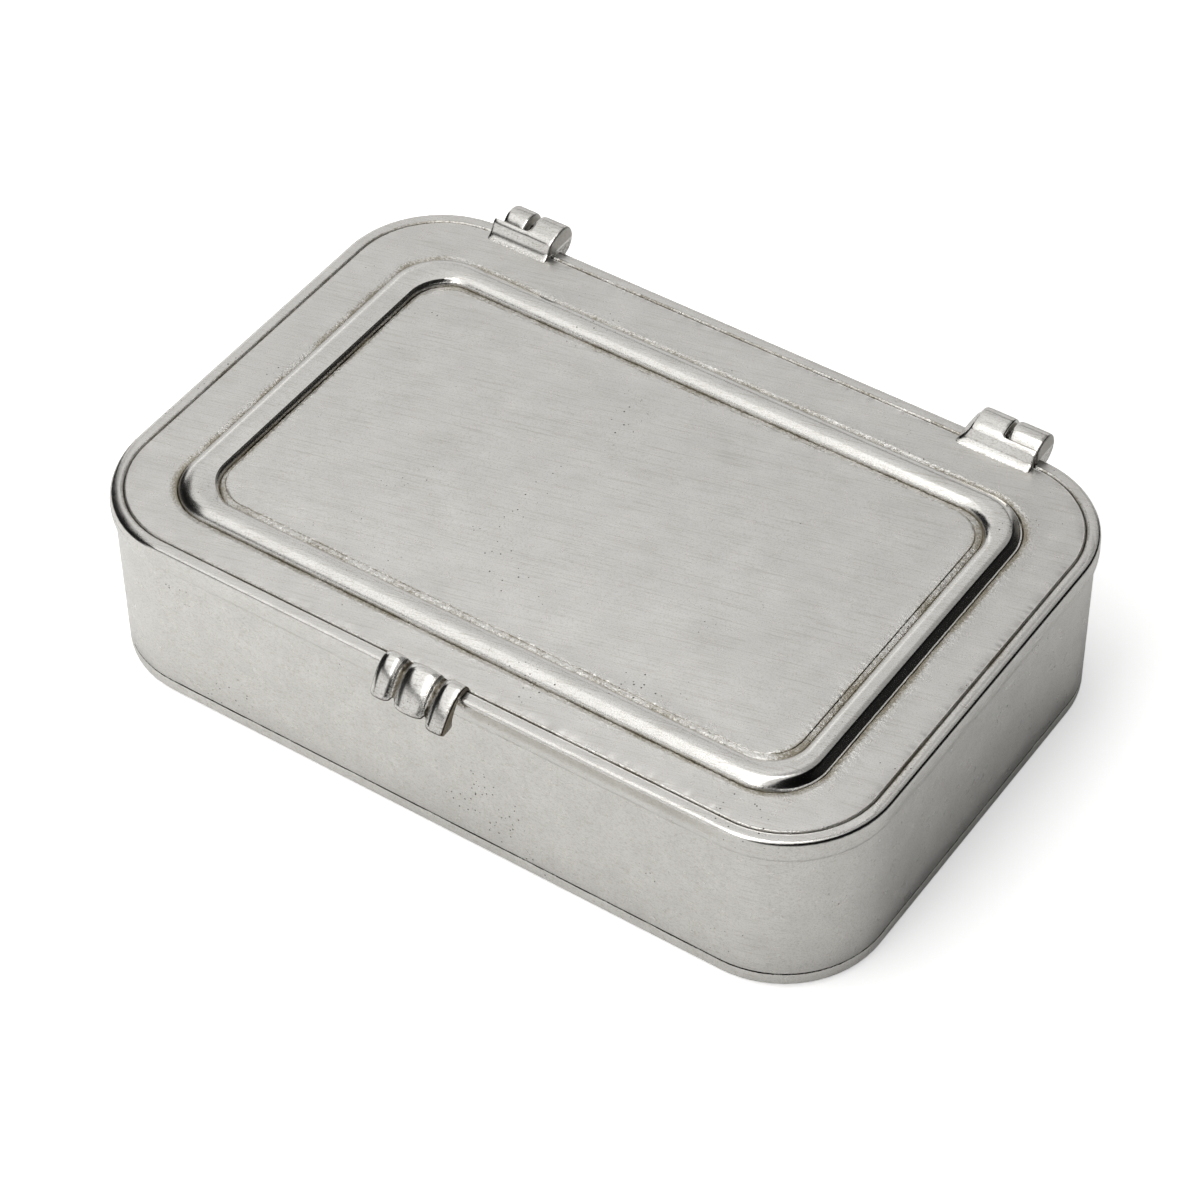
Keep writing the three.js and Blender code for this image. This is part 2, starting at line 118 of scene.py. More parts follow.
class Graph:
    """The node tree of a material or a world, with short methods for the nodes that are used most."""

    def __init__(self, owner: Material | bpy.types.World) -> None:
        """Switch the owner's nodes on and clear them away."""
        owner.use_nodes = True
        self.tree = owner.node_tree
        self.tree.nodes.clear()

    def add(self, kind: str, settings: dict | None = None, inputs: dict | None = None) -> bpy.types.Node:
        """Add one node to this tree."""
        return add_node(self.tree, kind, settings, inputs)

    @cached_property
    def place(self) -> Socket:
        """The object coordinates."""
        return self.add("TexCoord").outputs["Object"]

    def painted(self, name: str) -> Socket:
        """A number that is painted on the mesh."""
        return self.add("Attribute", {"attribute_name": name}).outputs["Fac"]

    def noise(self, size_mm: float, detail: float = 2.0, roughness: float = 0.5) -> Socket:
        """Noise with grains about as wide as a size in millimetres."""
        return self.add("TexNoise", inputs={"Vector": self.place, "Scale": per_metre(size_mm),
                                            "Detail": detail, "Roughness": roughness}).outputs["Fac"]

    def streaks(self, place: Socket, sizes_mm: tuple[float, float, float], detail: float = 2.0,
                roughness: float = 0.5) -> Socket:
        """Noise that has its own size in millimetres along each axis.

        Args:
            place: the coordinates that it is laid on.
            sizes_mm: how long its grains are along X, Y and Z.
            detail: how many finer layers it has.
            roughness: how strong they are.

        Returns:
            A value from 0 to 1.
        """
        scale = [per_metre(size) for size in sizes_mm]
        drawn = self.add("Mapping", inputs={"Vector": place, "Scale": scale}).outputs[0]
        return self.add("TexNoise", inputs={"Vector": drawn, "Scale": 1.0, "Detail": detail,
                                            "Roughness": roughness}).outputs["Fac"]

    def ramp(self, value: Socket, start: float, end: float, low: float = 0.0, high: float = 1.0,
             soft: bool = False) -> Socket:
        """Map one range of values to another, stopping at its ends.

        Args:
            value: what is mapped.
            start: the value that gives the low end.
            end: the value that gives the high end.
            low: what comes out at the start.
            high: what comes out at the end.
            soft: True eases it in and out.

        Returns:
            The mapped value.
        """
        return self.add("MapRange", {"interpolation_type": "SMOOTHSTEP" if soft else "LINEAR"}, {
            "Value": value, "From Min": start, "From Max": end, "To Min": low, "To Max": high}).outputs[0]

    def math(self, operation: str, *values: Socket | float) -> Socket:
        """The result of one Math node."""
        return self.add("Math", {"operation": operation}, dict(enumerate(values))).outputs[0]

    def mix(self, kind: str, factor: Socket, one: object, two: object) -> Socket:
        """A mix of two colours (kind RGBA) or two numbers (kind FLOAT)."""
        inputs = {"Factor": factor, "A": one, "B": two}
        return self.add("Mix", {"data_type": kind}, inputs).outputs["Result"]

    def bump(self, layers: list[tuple[Socket, Socket | float]]) -> Socket:
        """The normal bumped by one layer after the other, each a height and its depth in metres."""
        normal = {}
        for height, depth in layers:
            inputs = {"Height": height, "Strength": 1.0, "Distance": depth, **normal}
            normal = {"Normal": self.add("Bump", inputs=inputs).outputs["Normal"]}
        return normal["Normal"]

    def metal(self, colour: Socket, roughness: Socket | float, normal: Socket) -> None:
        """End the tree in a surface of bare metal."""
        shader = self.add("BsdfPrincipled", inputs={
            "Metallic": 1.0, "Base Color": colour, "Roughness": roughness, "Normal": normal})
        self.add("OutputMaterial", inputs={"Surface": shader.outputs["BSDF"]})


def deselect() -> None:
    """Leave nothing selected and no object in edit mode."""
    if bpy.context.object and bpy.context.object.mode != "OBJECT":
        bpy.ops.object.mode_set(mode="OBJECT")
    bpy.ops.object.select_all(action="DESELECT")


def activate(piece: Piece) -> None:
    """Make a piece the only selected and the active one."""
    deselect()
    piece.select_set(True)
    bpy.context.view_layer.objects.active = piece


def apply_modifier(piece: Piece, kind: str, **settings: object) -> None:
    """Add a modifier of a kind such as "SMOOTH" to a piece, give it its settings and apply it."""
    activate(piece)
    modifier = piece.modifiers.new(kind.lower(), kind)
    for name, value in settings.items():
        setattr(modifier, name, value)
    bpy.ops.object.modifier_apply(modifier=modifier.name)


def bake_place(piece: Piece) -> None:
    """Put a piece's place, turn and size into its mesh."""
    activate(piece)
    bpy.ops.object.transform_apply(location=True, rotation=True, scale=True)


def face_out(piece: Piece) -> None:
    """Merge doubled points and turn every face outwards."""
    activate(piece)
    bpy.ops.object.mode_set(mode="EDIT")
    bpy.ops.mesh.select_all(action="SELECT")
    bpy.ops.mesh.remove_doubles(threshold=0.001 * MM)
    bpy.ops.mesh.normals_make_consistent(inside=False)
    bpy.ops.object.mode_set(mode="OBJECT")


def smooth(piece: Piece, degrees: float = 40.0) -> None:
    """Shade a piece smoothly, with its edges sharper than an angle left sharp."""
    activate(piece)
    bpy.ops.object.shade_smooth_by_angle(angle=math.radians(degrees))


def vertex_places(piece: Piece) -> np.ndarray:
    """The places of a piece's points in millimetres, one row each."""
    places = np.empty(3 * len(piece.data.vertices))
    piece.data.vertices.foreach_get("co", places)
    return places.reshape(-1, 3) / MM


def move_vertices(piece: Piece, places: np.ndarray) -> None:
    """Set the places of a piece's points, given in millimetres."""
    piece.data.vertices.foreach_set("co", (places * MM).ravel())
    piece.data.update()


def paint(piece: Piece, **layers: np.ndarray) -> None:
    """Store numbers from 0 to 1 at each point of a piece, one layer a name, for its material to read."""
    for name, values in layers.items():
        attribute = piece.data.attributes.new(name, "FLOAT", "POINT")
        attribute.data.foreach_set("value", values.astype(np.float32))


@dataclass(frozen=True)
class Outline:
    """An oblong with round corners, in millimetres."""

    half_x: float
    half_y: float
    radius: float
    centre_y: float = 0.0

    def inset(self, distance: float) -> "Outline":
        """The same outline drawn in on every side by a distance."""
        radius = max(self.radius - distance, 0.3)
        return Outline(self.half_x - distance, self.half_y - distance, radius, self.centre_y)

    def beyond(self, places: np.ndarray) -> tuple[np.ndarray, np.ndarray]:
        """How far points lie past the ends of the straight sides, along X and along Y."""
        across_x = np.abs(places[:, 0]) - (self.half_x - self.radius)
        across_y = np.abs(places[:, 1] - self.centre_y) - (self.half_y - self.radius)
        return across_x, across_y

    def depth_of(self, places: np.ndarray) -> np.ndarray:
        """How far inside the outline points lie, in millimetres; negative outside."""
        across_x, across_y = self.beyond(places)
        outside = np.hypot(np.maximum(across_x, 0), np.maximum(across_y, 0))
        return self.radius - outside - np.minimum(np.maximum(across_x, across_y), 0)


class LoopStack:
    """A mesh made of outlines laid one in or over the next and bridged in pairs."""

    CORNER_SEGMENTS = 16

    def __init__(self, name: str, long_cuts: int, short_cuts: int, fine_cuts: int = 0) -> None:
        """Start an empty mesh in edit mode.

        Args:
            name: the piece's name.
            long_cuts: cuts in each long straight side of a loop, at most 100.
            short_cuts: cuts in each short straight side of a loop.
            fine_cuts: cuts in each of the edges that those make.
        """
        deselect()
        self.piece = bpy.data.objects.new(name, bpy.data.meshes.new(name))
        bpy.context.collection.objects.link(self.piece)
        activate(self.piece)
        bpy.ops.object.mode_set(mode="EDIT")
        bpy.ops.mesh.select_mode(type="EDGE")
        self.cuts = ((True, long_cuts), (False, short_cuts))
        self.fine_cuts = fine_cuts
        self.count = 0
        self.loops = 0

    def add(self, outline: Outline, height: float) -> None:
        """Add one loop at a height: a plane at its size, with round corners and without its face."""
        bpy.ops.mesh.select_all(action="DESELECT")
        centre = Vector((0, outline.centre_y, height)) * MM
        bpy.ops.mesh.primitive_plane_add(size=1, location=centre)
        bpy.ops.transform.resize(value=(2 * outline.half_x * MM, 2 * outline.half_y * MM, 1),
                                 center_override=centre)
        bpy.ops.mesh.bevel(affect="VERTICES", offset=outline.radius * MM,
                           segments=self.CORNER_SEGMENTS, profile=0.5)
        bpy.ops.mesh.delete(type="ONLY_FACE")
        for along_x, cuts in self.cuts:
            self.select_straight(along_x)
            bpy.ops.mesh.subdivide(number_cuts=cuts)
            if self.fine_cuts:
                bpy.ops.mesh.subdivide(number_cuts=self.fine_cuts)
        self.count = self.count or len(bmesh.from_edit_mesh(self.piece.data).verts)
        self.loops += 1

    def add_section(self, outline: Outline, section: list[Point]) -> None:
        """Add a loop for each point of a section, given as how far in it lies and how high."""
        for inset, height in section:
            self.add(outline.inset(inset), height)

    def select_straight(self, along_x: bool) -> None:
        """Select the newest loop's two straight sides along one axis."""
        mesh = bmesh.from_edit_mesh(self.piece.data)
        first = self.count * self.loops
        mesh.verts.index_update()
        for edge in mesh.edges:
            span = edge.verts[1].co - edge.verts[0].co
            new = min(vertex.index for vertex in edge.verts) >= first
            lies = abs(span.y if along_x else span.x) < 1e-9
            edge.select_set(new and lies and span.length > 2 * MM)
        bmesh.update_edit_mesh(self.piece.data)

    def finish(self, closed: bool) -> Piece:
        """Join each loop to the next point by point, close the mesh and leave edit mode.

        Args:
            closed: True joins the last loop to the first; False fills both with a face.

        Returns:
            The finished object.
        """
        bpy.ops.object.mode_set(mode="OBJECT")
        mesh = bmesh.new()
        mesh.from_mesh(self.piece.data)
        mesh.verts.ensure_lookup_table()
        pairs = [tuple(v.index for v in edge.verts) for edge in mesh.edges]
        first = [pair for pair in pairs if max(pair) < self.count]
        for number in range(self.loops if closed else self.loops - 1):
            here, above = number * self.count, (number + 1) % self.loops * self.count
            for one, two in first:
                mesh.faces.new([mesh.verts[i] for i in (here + one, here + two, above + two, above + one)])
        for number in () if closed else (0, self.loops - 1):
            low, high = number * self.count, (number + 1) * self.count
            ring = [e for e in mesh.edges if all(low <= v.index < high for v in e.verts)]
            bmesh.ops.contextual_create(mesh, geom=ring)
        mesh.to_mesh(self.piece.data)
        mesh.free()
        face_out(self.piece)
        return self.piece


def cad_box(node: str) -> tuple[np.ndarray, np.ndarray]:
    """Lowest and highest corner of a CAD node, in millimetres."""
    low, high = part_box(node)
    return np.array(low) / MM, np.array(high) / MM


RIM_LOW, RIM_HIGH = cad_box("rim_frame")
WALL_LOW, WALL_HIGH = cad_box("wall_frame")
LID_LOW, LID_HIGH = cad_box("lid_plate")
TOP = RIM_HIGH[2]


def adopt(piece: Piece, body: Body, finish: Material, node: str) -> None:
    """Put a finished piece in its CAD node's place.

    Args:
        piece: the finished object.
        body: the body that it moves with.
        finish: its material.
        node: the CAD node that it stands for.
    """
    piece.data.materials.clear()
    piece.data.materials.append(finish)
    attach(piece, body.value)
    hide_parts(node)
    LOG.info("%s: %d faces on %s", piece.name, len(piece.data.polygons), body.value)


def arc(centre: Point, radius: float, start: float, end: float, steps: int) -> list[Point]:
    """Points on an arc in a section, from one angle in degrees to another, both included."""
    angles = np.radians(np.linspace(start, end, steps + 1))
    return [(centre[0] + radius * math.cos(a), centre[1] + radius * math.sin(a)) for a in angles]


def bezier(points: list[Point], steps: int) -> list[Point]:
    """Points along a Bezier curve of three or four control points, the last one left out."""
    curve = []
    order = len(points) - 1
    for t in np.linspace(0, 1, steps, endpoint=False):
        weights = [math.comb(order, k) * t ** k * (1 - t) ** (order - k) for k in range(order + 1)]
        curve.append(tuple(sum(w * p[axis] for w, p in zip(weights, points)) for axis in (0, 1)))
    return curve


def profile_bar(name: str, section: list[Point], start: float, end: float) -> Piece:
    """A bar closed at both ends, made by shaping a circle to a section and extruding it along X.

    Args:
        name: the object's name.
        section: its corners as (y, z) in millimetres.
        start: x of its first end.
        end: x of its other end.

    Returns:
        The bar.
    """
    deselect()
    bpy.ops.mesh.primitive_circle_add(vertices=len(section), radius=MM, fill_type="NGON")
    bar = bpy.context.object
    bar.name = name
    move_vertices(bar, np.array([(start, y, z) for y, z in section]))
    activate(bar)
    bpy.ops.object.mode_set(mode="EDIT")
    bpy.ops.mesh.select_all(action="SELECT")
    bpy.ops.mesh.extrude_region_move(TRANSFORM_OT_translate={"value": ((end - start) * MM, 0, 0)})
    bpy.ops.object.mode_set(mode="OBJECT")
    face_out(bar)
    return bar


def combine(piece: Piece, other: Piece, operation: str) -> None:
    """Join a second solid to a piece or cut it out of the piece, and delete it."""
    apply_modifier(piece, "BOOLEAN", object=other, operation=operation, solver="EXACT")
    bpy.data.objects.remove(other, do_unlink=True)


def block(low: tuple[float, float, float], high: tuple[float, float, float]) -> Piece:
    """A block between two corners given in millimetres, to cut with or to join."""
    deselect()
    middle = [(a + b) / 2 * MM for a, b in zip(low, high)]
    bpy.ops.mesh.primitive_cube_add(size=1, location=middle)
    made = bpy.context.object
    made.scale = [(b - a) * MM for a, b in zip(low, high)]
    bake_place(made)
    return made


@dataclass(frozen=True)
class Stain:
    """How a painted mask breaks up: ragged at its edges by a grain, thinner in places by a slow drift."""

    grain_mm: float
    detail: float
    roughness: float
    drift_mm: float
    drift_detail: float
    drift_end: float
    thin: float
    thick: float
    full: float
    bare: float = 0.85
    drift_start: float = 0.35

    def mask(self, graph: Graph, painted: Socket) -> Socket:
        """The broken mask, from 0 to 1."""
        drift = graph.noise(self.drift_mm, self.drift_detail)
        uneven = graph.ramp(drift, self.drift_start, self.drift_end, self.thin, self.thick)
        local = graph.math("MULTIPLY", painted, uneven)
        grain = graph.noise(self.grain_mm, self.detail, self.roughness)
        return graph.ramp(graph.math("ADD", grain, local), self.bare, self.full, soft=True)


BROWN_GRAINS = Stain(grain_mm=0.28, detail=3.0, roughness=0.7, drift_mm=6.0, drift_detail=2.0,
                     drift_end=0.65, thin=0.7, thick=1.15, full=1.25)
# Breaks up the black mask, which carries dirt and also painted shade and a painted dark reflection.
BLACK_TARNISH_AND_SHADE = Stain(grain_mm=0.42, detail=4.0, roughness=0.65, drift_mm=4.0, drift_detail=1.0,
                      drift_end=0.6, thin=0.45, thick=1.0, full=1.2)


@dataclass(frozen=True)
class Pewter:
    """Cast pewter, a soft light grey tin alloy: how bright, how dull and how marked it is.

    A piece's painted attributes say where it is rough and brown with patina, black with dirt, rubbed bright
    (polish) or scored by a file (filed). The brown and the black also carry painted shade: on the sides that
    face the dark room, under the tab's tips, and in gaps and creases. The black also carries a painted dark
    reflection along the lid panel's right edge.
    """

    name: str
    light: str
    dark: str
    patina: str
    roughness: float
    black: str = "3a352d"
    polished_roughness: float = 0.18
    worn_roughness: float = 0.5
    roughness_spread: float = 0.05
    mottle_mm: float = 5.0
    wave_mm: float = 7.0
    wave_depth_mm: float = 0.006
    hairline_mm: float = 0.2
    hairline_length_mm: float = 9.0
    hairline_depth_mm: float = 0.011
    hairline_angle: float = 14.0
    hairline_polished: float = 0.2
    pit_spacing_mm: float = 0.9
    pit_mm: float = 0.26
    pit_patch_mm: float = 14.0
    satin_mm: float = 0.2
    satin_depth_mm: float = 0.009
    satin_polished: float = 0.3
    score_mm: float = 0.22
    score_length_mm: float = 5.0
    score_depth_mm: float = 0.05
    score_browning: float = 0.3
    fine_browning: float = 0.5
    grain_mm: float = 0.28
    grain_depth_mm: float = 0.2

    def material(self) -> Material:
        """Build the node material."""
        made = bpy.data.materials.new(self.name)
        graph = Graph(made)
        # The brown and black masks carry patina and dirt, and also painted shade and a painted dark
        # reflection.
        patina, polish, filed, dirt = (graph.painted(name) for name in ("patina", "polish", "filed", "dirt"))
        specks = BROWN_GRAINS.mask(graph, patina)
        hairs = self.hairs(graph)
        fine = graph.ramp(graph.noise(self.satin_mm, 3.0, 0.7), 0.5, 0.75, 0.0, self.fine_browning)
        brushed = graph.ramp(hairs, 0.5, 0.8, 0.0, self.fine_browning)
        scored = graph.math("MULTIPLY", filed, self.score_browning)
        brown = (fine, brushed, scored, specks)
        black = (self.pits(graph), BLACK_TARNISH_AND_SHADE.mask(graph, dirt))
        graph.metal(self.colour(graph, brown, black), self.dullness(graph, polish, specks, filed),
                    self.relief(graph, hairs, patina, polish, filed))
        return made

    def hairs(self, graph: Graph) -> Socket:
        """Fine brush lines that run nearly along the box, from 0 to 1."""
        turned = graph.add("VectorRotate", {"rotation_type": "Z_AXIS"}, {
            "Vector": graph.place, "Angle": math.radians(-self.hairline_angle)})
        sizes = (self.hairline_length_mm, self.hairline_mm, self.hairline_mm)
        return graph.streaks(turned.outputs[0], sizes, 3.0, 0.7)

    def pits(self, graph: Graph) -> Socket:
        """Casting pits, small dark holes that crowd together in patches, as a mask."""
        cells = graph.add("TexVoronoi", inputs={
            "Vector": graph.place, "Scale": per_metre(self.pit_spacing_mm)})
        crowding = graph.noise(self.pit_patch_mm)
        size = graph.ramp(crowding, 0.5, 0.66, 0.0, self.pit_mm / self.pit_spacing_mm / 2)
        return graph.ramp(graph.math("SUBTRACT", size, cells.outputs["Distance"]), 0.0, 0.02)

    def colour(self, graph: Graph, brown: tuple[Socket, ...], black: tuple[Socket, ...]) -> Socket:
        """The metal's colour: cloudy grey, with brown and then black laid over it by their masks, which
        carry patina, dirt and pits and also painted shade and a painted dark reflection.
        """
        cloudy = graph.ramp(graph.noise(self.mottle_mm, 6.0, 0.62), 0.3, 0.7)
        colour = graph.mix("RGBA", cloudy, linear(self.dark), linear(self.light))
        for masks, over in ((brown, self.patina), (black, self.black)):
            for mask in masks:
                colour = graph.mix("RGBA", mask, colour, linear(over))
        return colour

    def dullness(self, graph: Graph, polish: Socket, specks: Socket, filed: Socket) -> Socket:
        """The roughness: satin, smoother where rubbed bright, rougher on brown grains and file marks."""
        satin = graph.noise(self.mottle_mm / 3, 4.0)
        spread = self.roughness_spread
        rough = graph.ramp(satin, 0.3, 0.7, self.roughness - spread, self.roughness + spread)
        for mask, value in ((polish, self.polished_roughness), (specks, self.worn_roughness),
                            (filed, self.worn_roughness)):
            rough = graph.mix("FLOAT", mask, rough, value)
        return rough

    def relief(self, graph: Graph, hairs: Socket, patina: Socket, polish: Socket, filed: Socket) -> Socket:
        """The surface's fine relief.

        Args:
            graph: the material's graph.
            hairs: the brush lines.
            patina: the painted patina with its painted shade, which carries the cast grain.
            polish: the painted polish, which flattens the brush lines and the satin.
            filed: the painted file marks.

        Returns:
            The bumped normal.
        """
        hair_depth, satin_depth = (
            graph.ramp(polish, 0.0, 1.0, full * MM, full * MM * left)
            for full, left in ((self.hairline_depth_mm, self.hairline_polished),
                               (self.satin_depth_mm, self.satin_polished)))
        scores = graph.streaks(graph.place, (self.score_mm, self.score_length_mm, self.score_length_mm))
        grain = graph.noise(self.grain_mm, 3.0, 0.7)
        return graph.bump([
            (graph.math("MULTIPLY", scores, filed), self.score_depth_mm * MM),
            (graph.noise(self.satin_mm), satin_depth),
            (graph.noise(self.wave_mm), self.wave_depth_mm * MM),
            (hairs, hair_depth),
            (graph.math("MULTIPLY", grain, patina), self.grain_depth_mm * MM)])


# Grey satin metal with soft clouds, fine hairlines and dark casting pits: base, wall, rim and lid.
SATIN = Pewter("satin_polished_cast_pewter", "e2e0dc", "d7d5d1", "9c9585", roughness=0.31)
# The same metal rubbed brighter by hand, with shorter soft waves: the tab and the hinges.
BRIGHT = Pewter("rubbed_bright_cast_pewter", "e3e1dd", "d5d3ce", "857d6e", roughness=0.24, wave_mm=3.0)


@dataclass(frozen=True)
class Wire:
    """Drawn steel wire, the hinge pins: a darker grey than pewter, with drawing lines along its length."""

    name: str = "drawn_steel_pin_wire"
    light: str = "a9a7a3"
    dark: str = "7d7a75"
    roughness: float = 0.35
    line_mm: float = 0.08
    line_length_mm: float = 3.0
    line_depth_mm: float = 0.006

    def material(self) -> Material:
        """Build the node material."""
        made = bpy.data.materials.new(self.name)
        graph = Graph(made)
        lines = graph.streaks(graph.place, (self.line_length_mm, self.line_mm, self.line_mm))
        grey = graph.mix("RGBA", lines, linear(self.dark), linear(self.light))
        graph.metal(grey, self.roughness, graph.bump([(lines, self.line_depth_mm * MM)]))
        return made


@dataclass
class BoxCastings:
    """The base, the wall and the rim that make up the open box."""

    corner_radius: float = 15.5
    base_edge: float = 1.2
    seam_height: float = 0.2
    seam_depth: float = 0.7
    floor_rings: Point = (18.0, 6.0)
    floor_skin: float = 2.0
    wall_thickness: float = 2.2
    wall_skin: float = 0.2
    floor_cove: float = 1.4
    rim_swell: tuple[Point, ...] = (
        (0.55, 0.0), (0.3, 0.03), (0.14, 0.14), (0.05, 0.4), (0.01, 0.8), (0.0, 1.12), (0.0, 1.22),
        (0.0, 1.9), (0.01, 2.4), (0.03, 2.75), (0.07, 2.95), (0.13, 3.1), (0.2, 3.21), (0.3, 3.3),
        (0.42, 3.36), (0.6, 3.39), (0.9, 3.4), (1.2, 3.4))
    strip_width: float = 2.0
    inner_edge: float = 0.4
    ledge_width: float = 1.9
    ledge_gap: float = 0.3
    filed_from: float = 6.0
    filed_to: float = 47.0
    filed_top: float = 0.45
    filed_foot: float = 1.97
    filed_depth: float = 0.16
    filed_reach: float = 0.7
    crease_height: float = 1.9
    crease_dirt: float = 0.7
    rubbed_at: float = 0.3
    rubbed_reach: float = 0.5
    rubbed_drop: float = 1.6
    rubbed_gain: float = 1.4
    corner_wear: float = 0.55
    corner_wear_width: float = 1.25
    corner_wear_drop: float = 1.2
    cast_patina: float = 0.42
    right_patina: float = 0.36
    right_width: float = 3.0
    groove_patina: float = 0.5
    groove_dirt: float = 0.6
    notch_gap: float = 0.3
    notch_inner: float = 37.0
    notch_floor: float = 25.4

    def rim_outline(self) -> Outline:
        """The rim's outer outline."""
        return Outline(RIM_HIGH[0], RIM_HIGH[1], self.corner_radius)

    def wall_outline(self) -> Outline:
        """The wall's outer outline, a little inside the rim's."""
        return self.rim_outline().inset(RIM_HIGH[0] - WALL_HIGH[0])

    def dress(self, casting: Piece, deep: np.ndarray, node: str, finish: Material) -> None:
        """Give the base or the wall a cast skin inside and black dirt in the seam, and put it in place.

        Args:
            casting: the base or the wall.
            deep: True for its points inside the box.
            node: the CAD node that it stands for.
            finish: its material.
        """
        seam = np.abs(vertex_places(casting)[:, 2] - WALL_LOW[2]) < 0.6 * self.seam_height
        paint(casting, patina=self.cast_patina * deep, dirt=seam & ~deep)
        smooth(casting)
        adopt(casting, Body.BOX, finish, node)

    def build_base(self, finish: Material) -> None:
        """Build the base plate with its lower edge rounded over and its half of the open seam."""
        seam, slot = WALL_LOW[2], self.seam_height / 2
        edge = arc((self.base_edge, self.base_edge), self.base_edge, 270, 180, 8)
        stack = LoopStack("base_casting", 40, 24)
        stack.add_section(self.wall_outline(), [
            *((ring, 0.0) for ring in self.floor_rings), *edge, (0.0, seam - 2 * slot),
            (slot / 2, seam - slot), (self.seam_depth, seam - slot), (self.seam_depth, seam),
            *((ring, seam) for ring in reversed(self.floor_rings))])
        base = stack.finish(False)
        deep = self.rim_outline().depth_of(vertex_places(base)) > self.floor_skin
        self.dress(base, deep, "base_plate", finish)

    def build_wall(self, finish: Material) -> None:
        """Build the wall, an upright ring with a cove where it meets the floor inside."""
        seam, slot, inside = WALL_LOW[2], self.seam_height / 2, self.wall_thickness
        cove = arc((inside + self.floor_cove, seam + self.floor_cove), self.floor_cove, 180, 270, 6)
        levels = np.linspace(seam + 2 * slot, WALL_HIGH[2], 8)
        stack = LoopStack("wall_casting", 60, 36)
        stack.add_section(self.wall_outline(), [
            (self.seam_depth, seam), (self.seam_depth, seam + slot), (slot / 2, seam + slot),
            *((0.0, z) for z in levels), (inside, WALL_HIGH[2]), *cove])
        wall = stack.finish(True)
        deep = self.wall_outline().depth_of(vertex_places(wall)) > inside - self.wall_skin
        self.dress(wall, deep, "wall_frame", finish)

    def build_rim(self, finish: Material) -> None:
        """Build the rim, with its ledge for the lid and a notch for each hinge."""
        low, ledge = RIM_LOW[2], LID_LOW[2] - self.ledge_gap
        swell = [(inset, low + rise * (TOP - low) / self.rim_swell[-1][1]) for inset, rise in self.rim_swell]
        lip = arc((self.strip_width - self.inner_edge, TOP - self.inner_edge), self.inner_edge, 90, 0, 5)
        deep = self.strip_width + self.ledge_width
        stack = LoopStack("rim_casting", 100, 60, 1)
        stack.add_section(self.rim_outline(), [
            *swell, *lip, (self.strip_width, ledge), (deep, ledge), (deep, low)])
        rim = stack.finish(True)
        places = vertex_places(rim)
        depth = self.rim_outline().depth_of(places)
        filed = self.file_front(rim, places)
        self.round_corner(rim)
        # A black line painted at the filed band's foot, where the step is shaded: painted shade.
        crease = self.along_front(places[:, 0]) * (
            (np.abs(TOP - places[:, 2] - self.crease_height) < 0.06)
            & (places[:, 1] < RIM_LOW[1] + self.filed_reach))
        outer = fade(np.abs(depth - self.rubbed_at), self.rubbed_reach, -self.rubbed_reach)
        rubbed = np.clip(self.rubbed_gain * outer * (places[:, 2] > TOP - self.rubbed_drop), 0, 1)
        # The rim's right end is painted browner: partly patina, partly painted shade on the side that faces
        # the dark room.
        right = fade(places[:, 0] - RIM_HIGH[0], -self.right_width, 1.0) * (depth > 0.9)
        inner = depth > self.strip_width - 0.3
        # Black painted in the narrow gap below the inner lip, between rim and lid: painted shade with some
        # dirt.
        groove = np.abs(depth - self.strip_width) < 0.05
        paint(rim, polish=rubbed * (1 - filed), filed=filed,
              patina=np.maximum(self.groove_patina * inner, self.right_patina * right),
              dirt=np.maximum(self.groove_dirt * groove, self.crease_dirt * crease))
        for side, name in SIDE_NAMES.items():
            knuckle, lug = cad_box(f"body_hinge_knuckle_{name}"), cad_box(f"lid_hinge_lug_{name}")
            start, end = (lug[0][0] - self.notch_gap, knuckle[1][0]) if side > 0 else (
                knuckle[0][0], lug[1][0] + self.notch_gap)
            notch = block((start, self.notch_inner, self.notch_floor), (end, RIM_HIGH[1] + 1, TOP + 1))
            combine(rim, notch, "DIFFERENCE")
        face_out(rim)
        smooth(rim)
        adopt(rim, Body.BOX, finish, "rim_frame")

    def along_front(self, x: np.ndarray) -> np.ndarray:
        """How much of the filed band there is along X: it starts short and runs out slowly."""
        return fade(x, self.filed_from, 1.5) * fade(x, self.filed_to, -9.0)

    def file_front(self, rim: Piece, places: np.ndarray) -> np.ndarray:
        """File a flat band on the front of the rim, to the right of the tab.

        Args:
            rim: the rim casting.
            places: where its points are.

        Returns:
            How much each point is filed, from 0 to 1.
        """
        height = TOP - places[:, 2]
        band = fade(height, self.filed_top, 0.1) * fade(height, self.filed_foot, -0.08)
        front = (places[:, 1] < RIM_LOW[1] + self.filed_reach) & (np.abs(places[:, 0]) < RIM_HIGH[0] - 8)
        filed = self.along_front(places[:, 0]) * band * front
        flat = RIM_LOW[1] + self.filed_depth * (1 - (height - self.filed_top) / 2.2)
        places[:, 1] += np.maximum(flat - places[:, 1], 0) * filed
        move_vertices(rim, places)
        return filed

    def round_corner(self, rim: Piece) -> None:
        """Round the rim's top over further at the front left corner, where it is worn most."""
        places = vertex_places(rim)
        outline = self.rim_outline()
        across_x = np.maximum(-places[:, 0] - outline.half_x + outline.radius, 0)
        across_y = np.maximum(-places[:, 1] - outline.half_y + outline.radius, 0)
        middle = across_x * across_y / np.maximum(across_x ** 2 + across_y ** 2, TINY)
        outer = fade(outline.depth_of(places), self.corner_wear_width, -self.corner_wear_width)
        worn = np.clip(2.6 * middle, 0, 1) * (outer * (places[:, 2] > TOP - self.corner_wear_drop)) ** 1.3
        places[:, 2] -= self.corner_wear * worn
        move_vertices(rim, places)

    def build(self, finish: Material) -> None:
        """Build and dress the three castings."""
        self.build_base(finish)
        self.build_wall(finish)
        self.build_rim(finish)


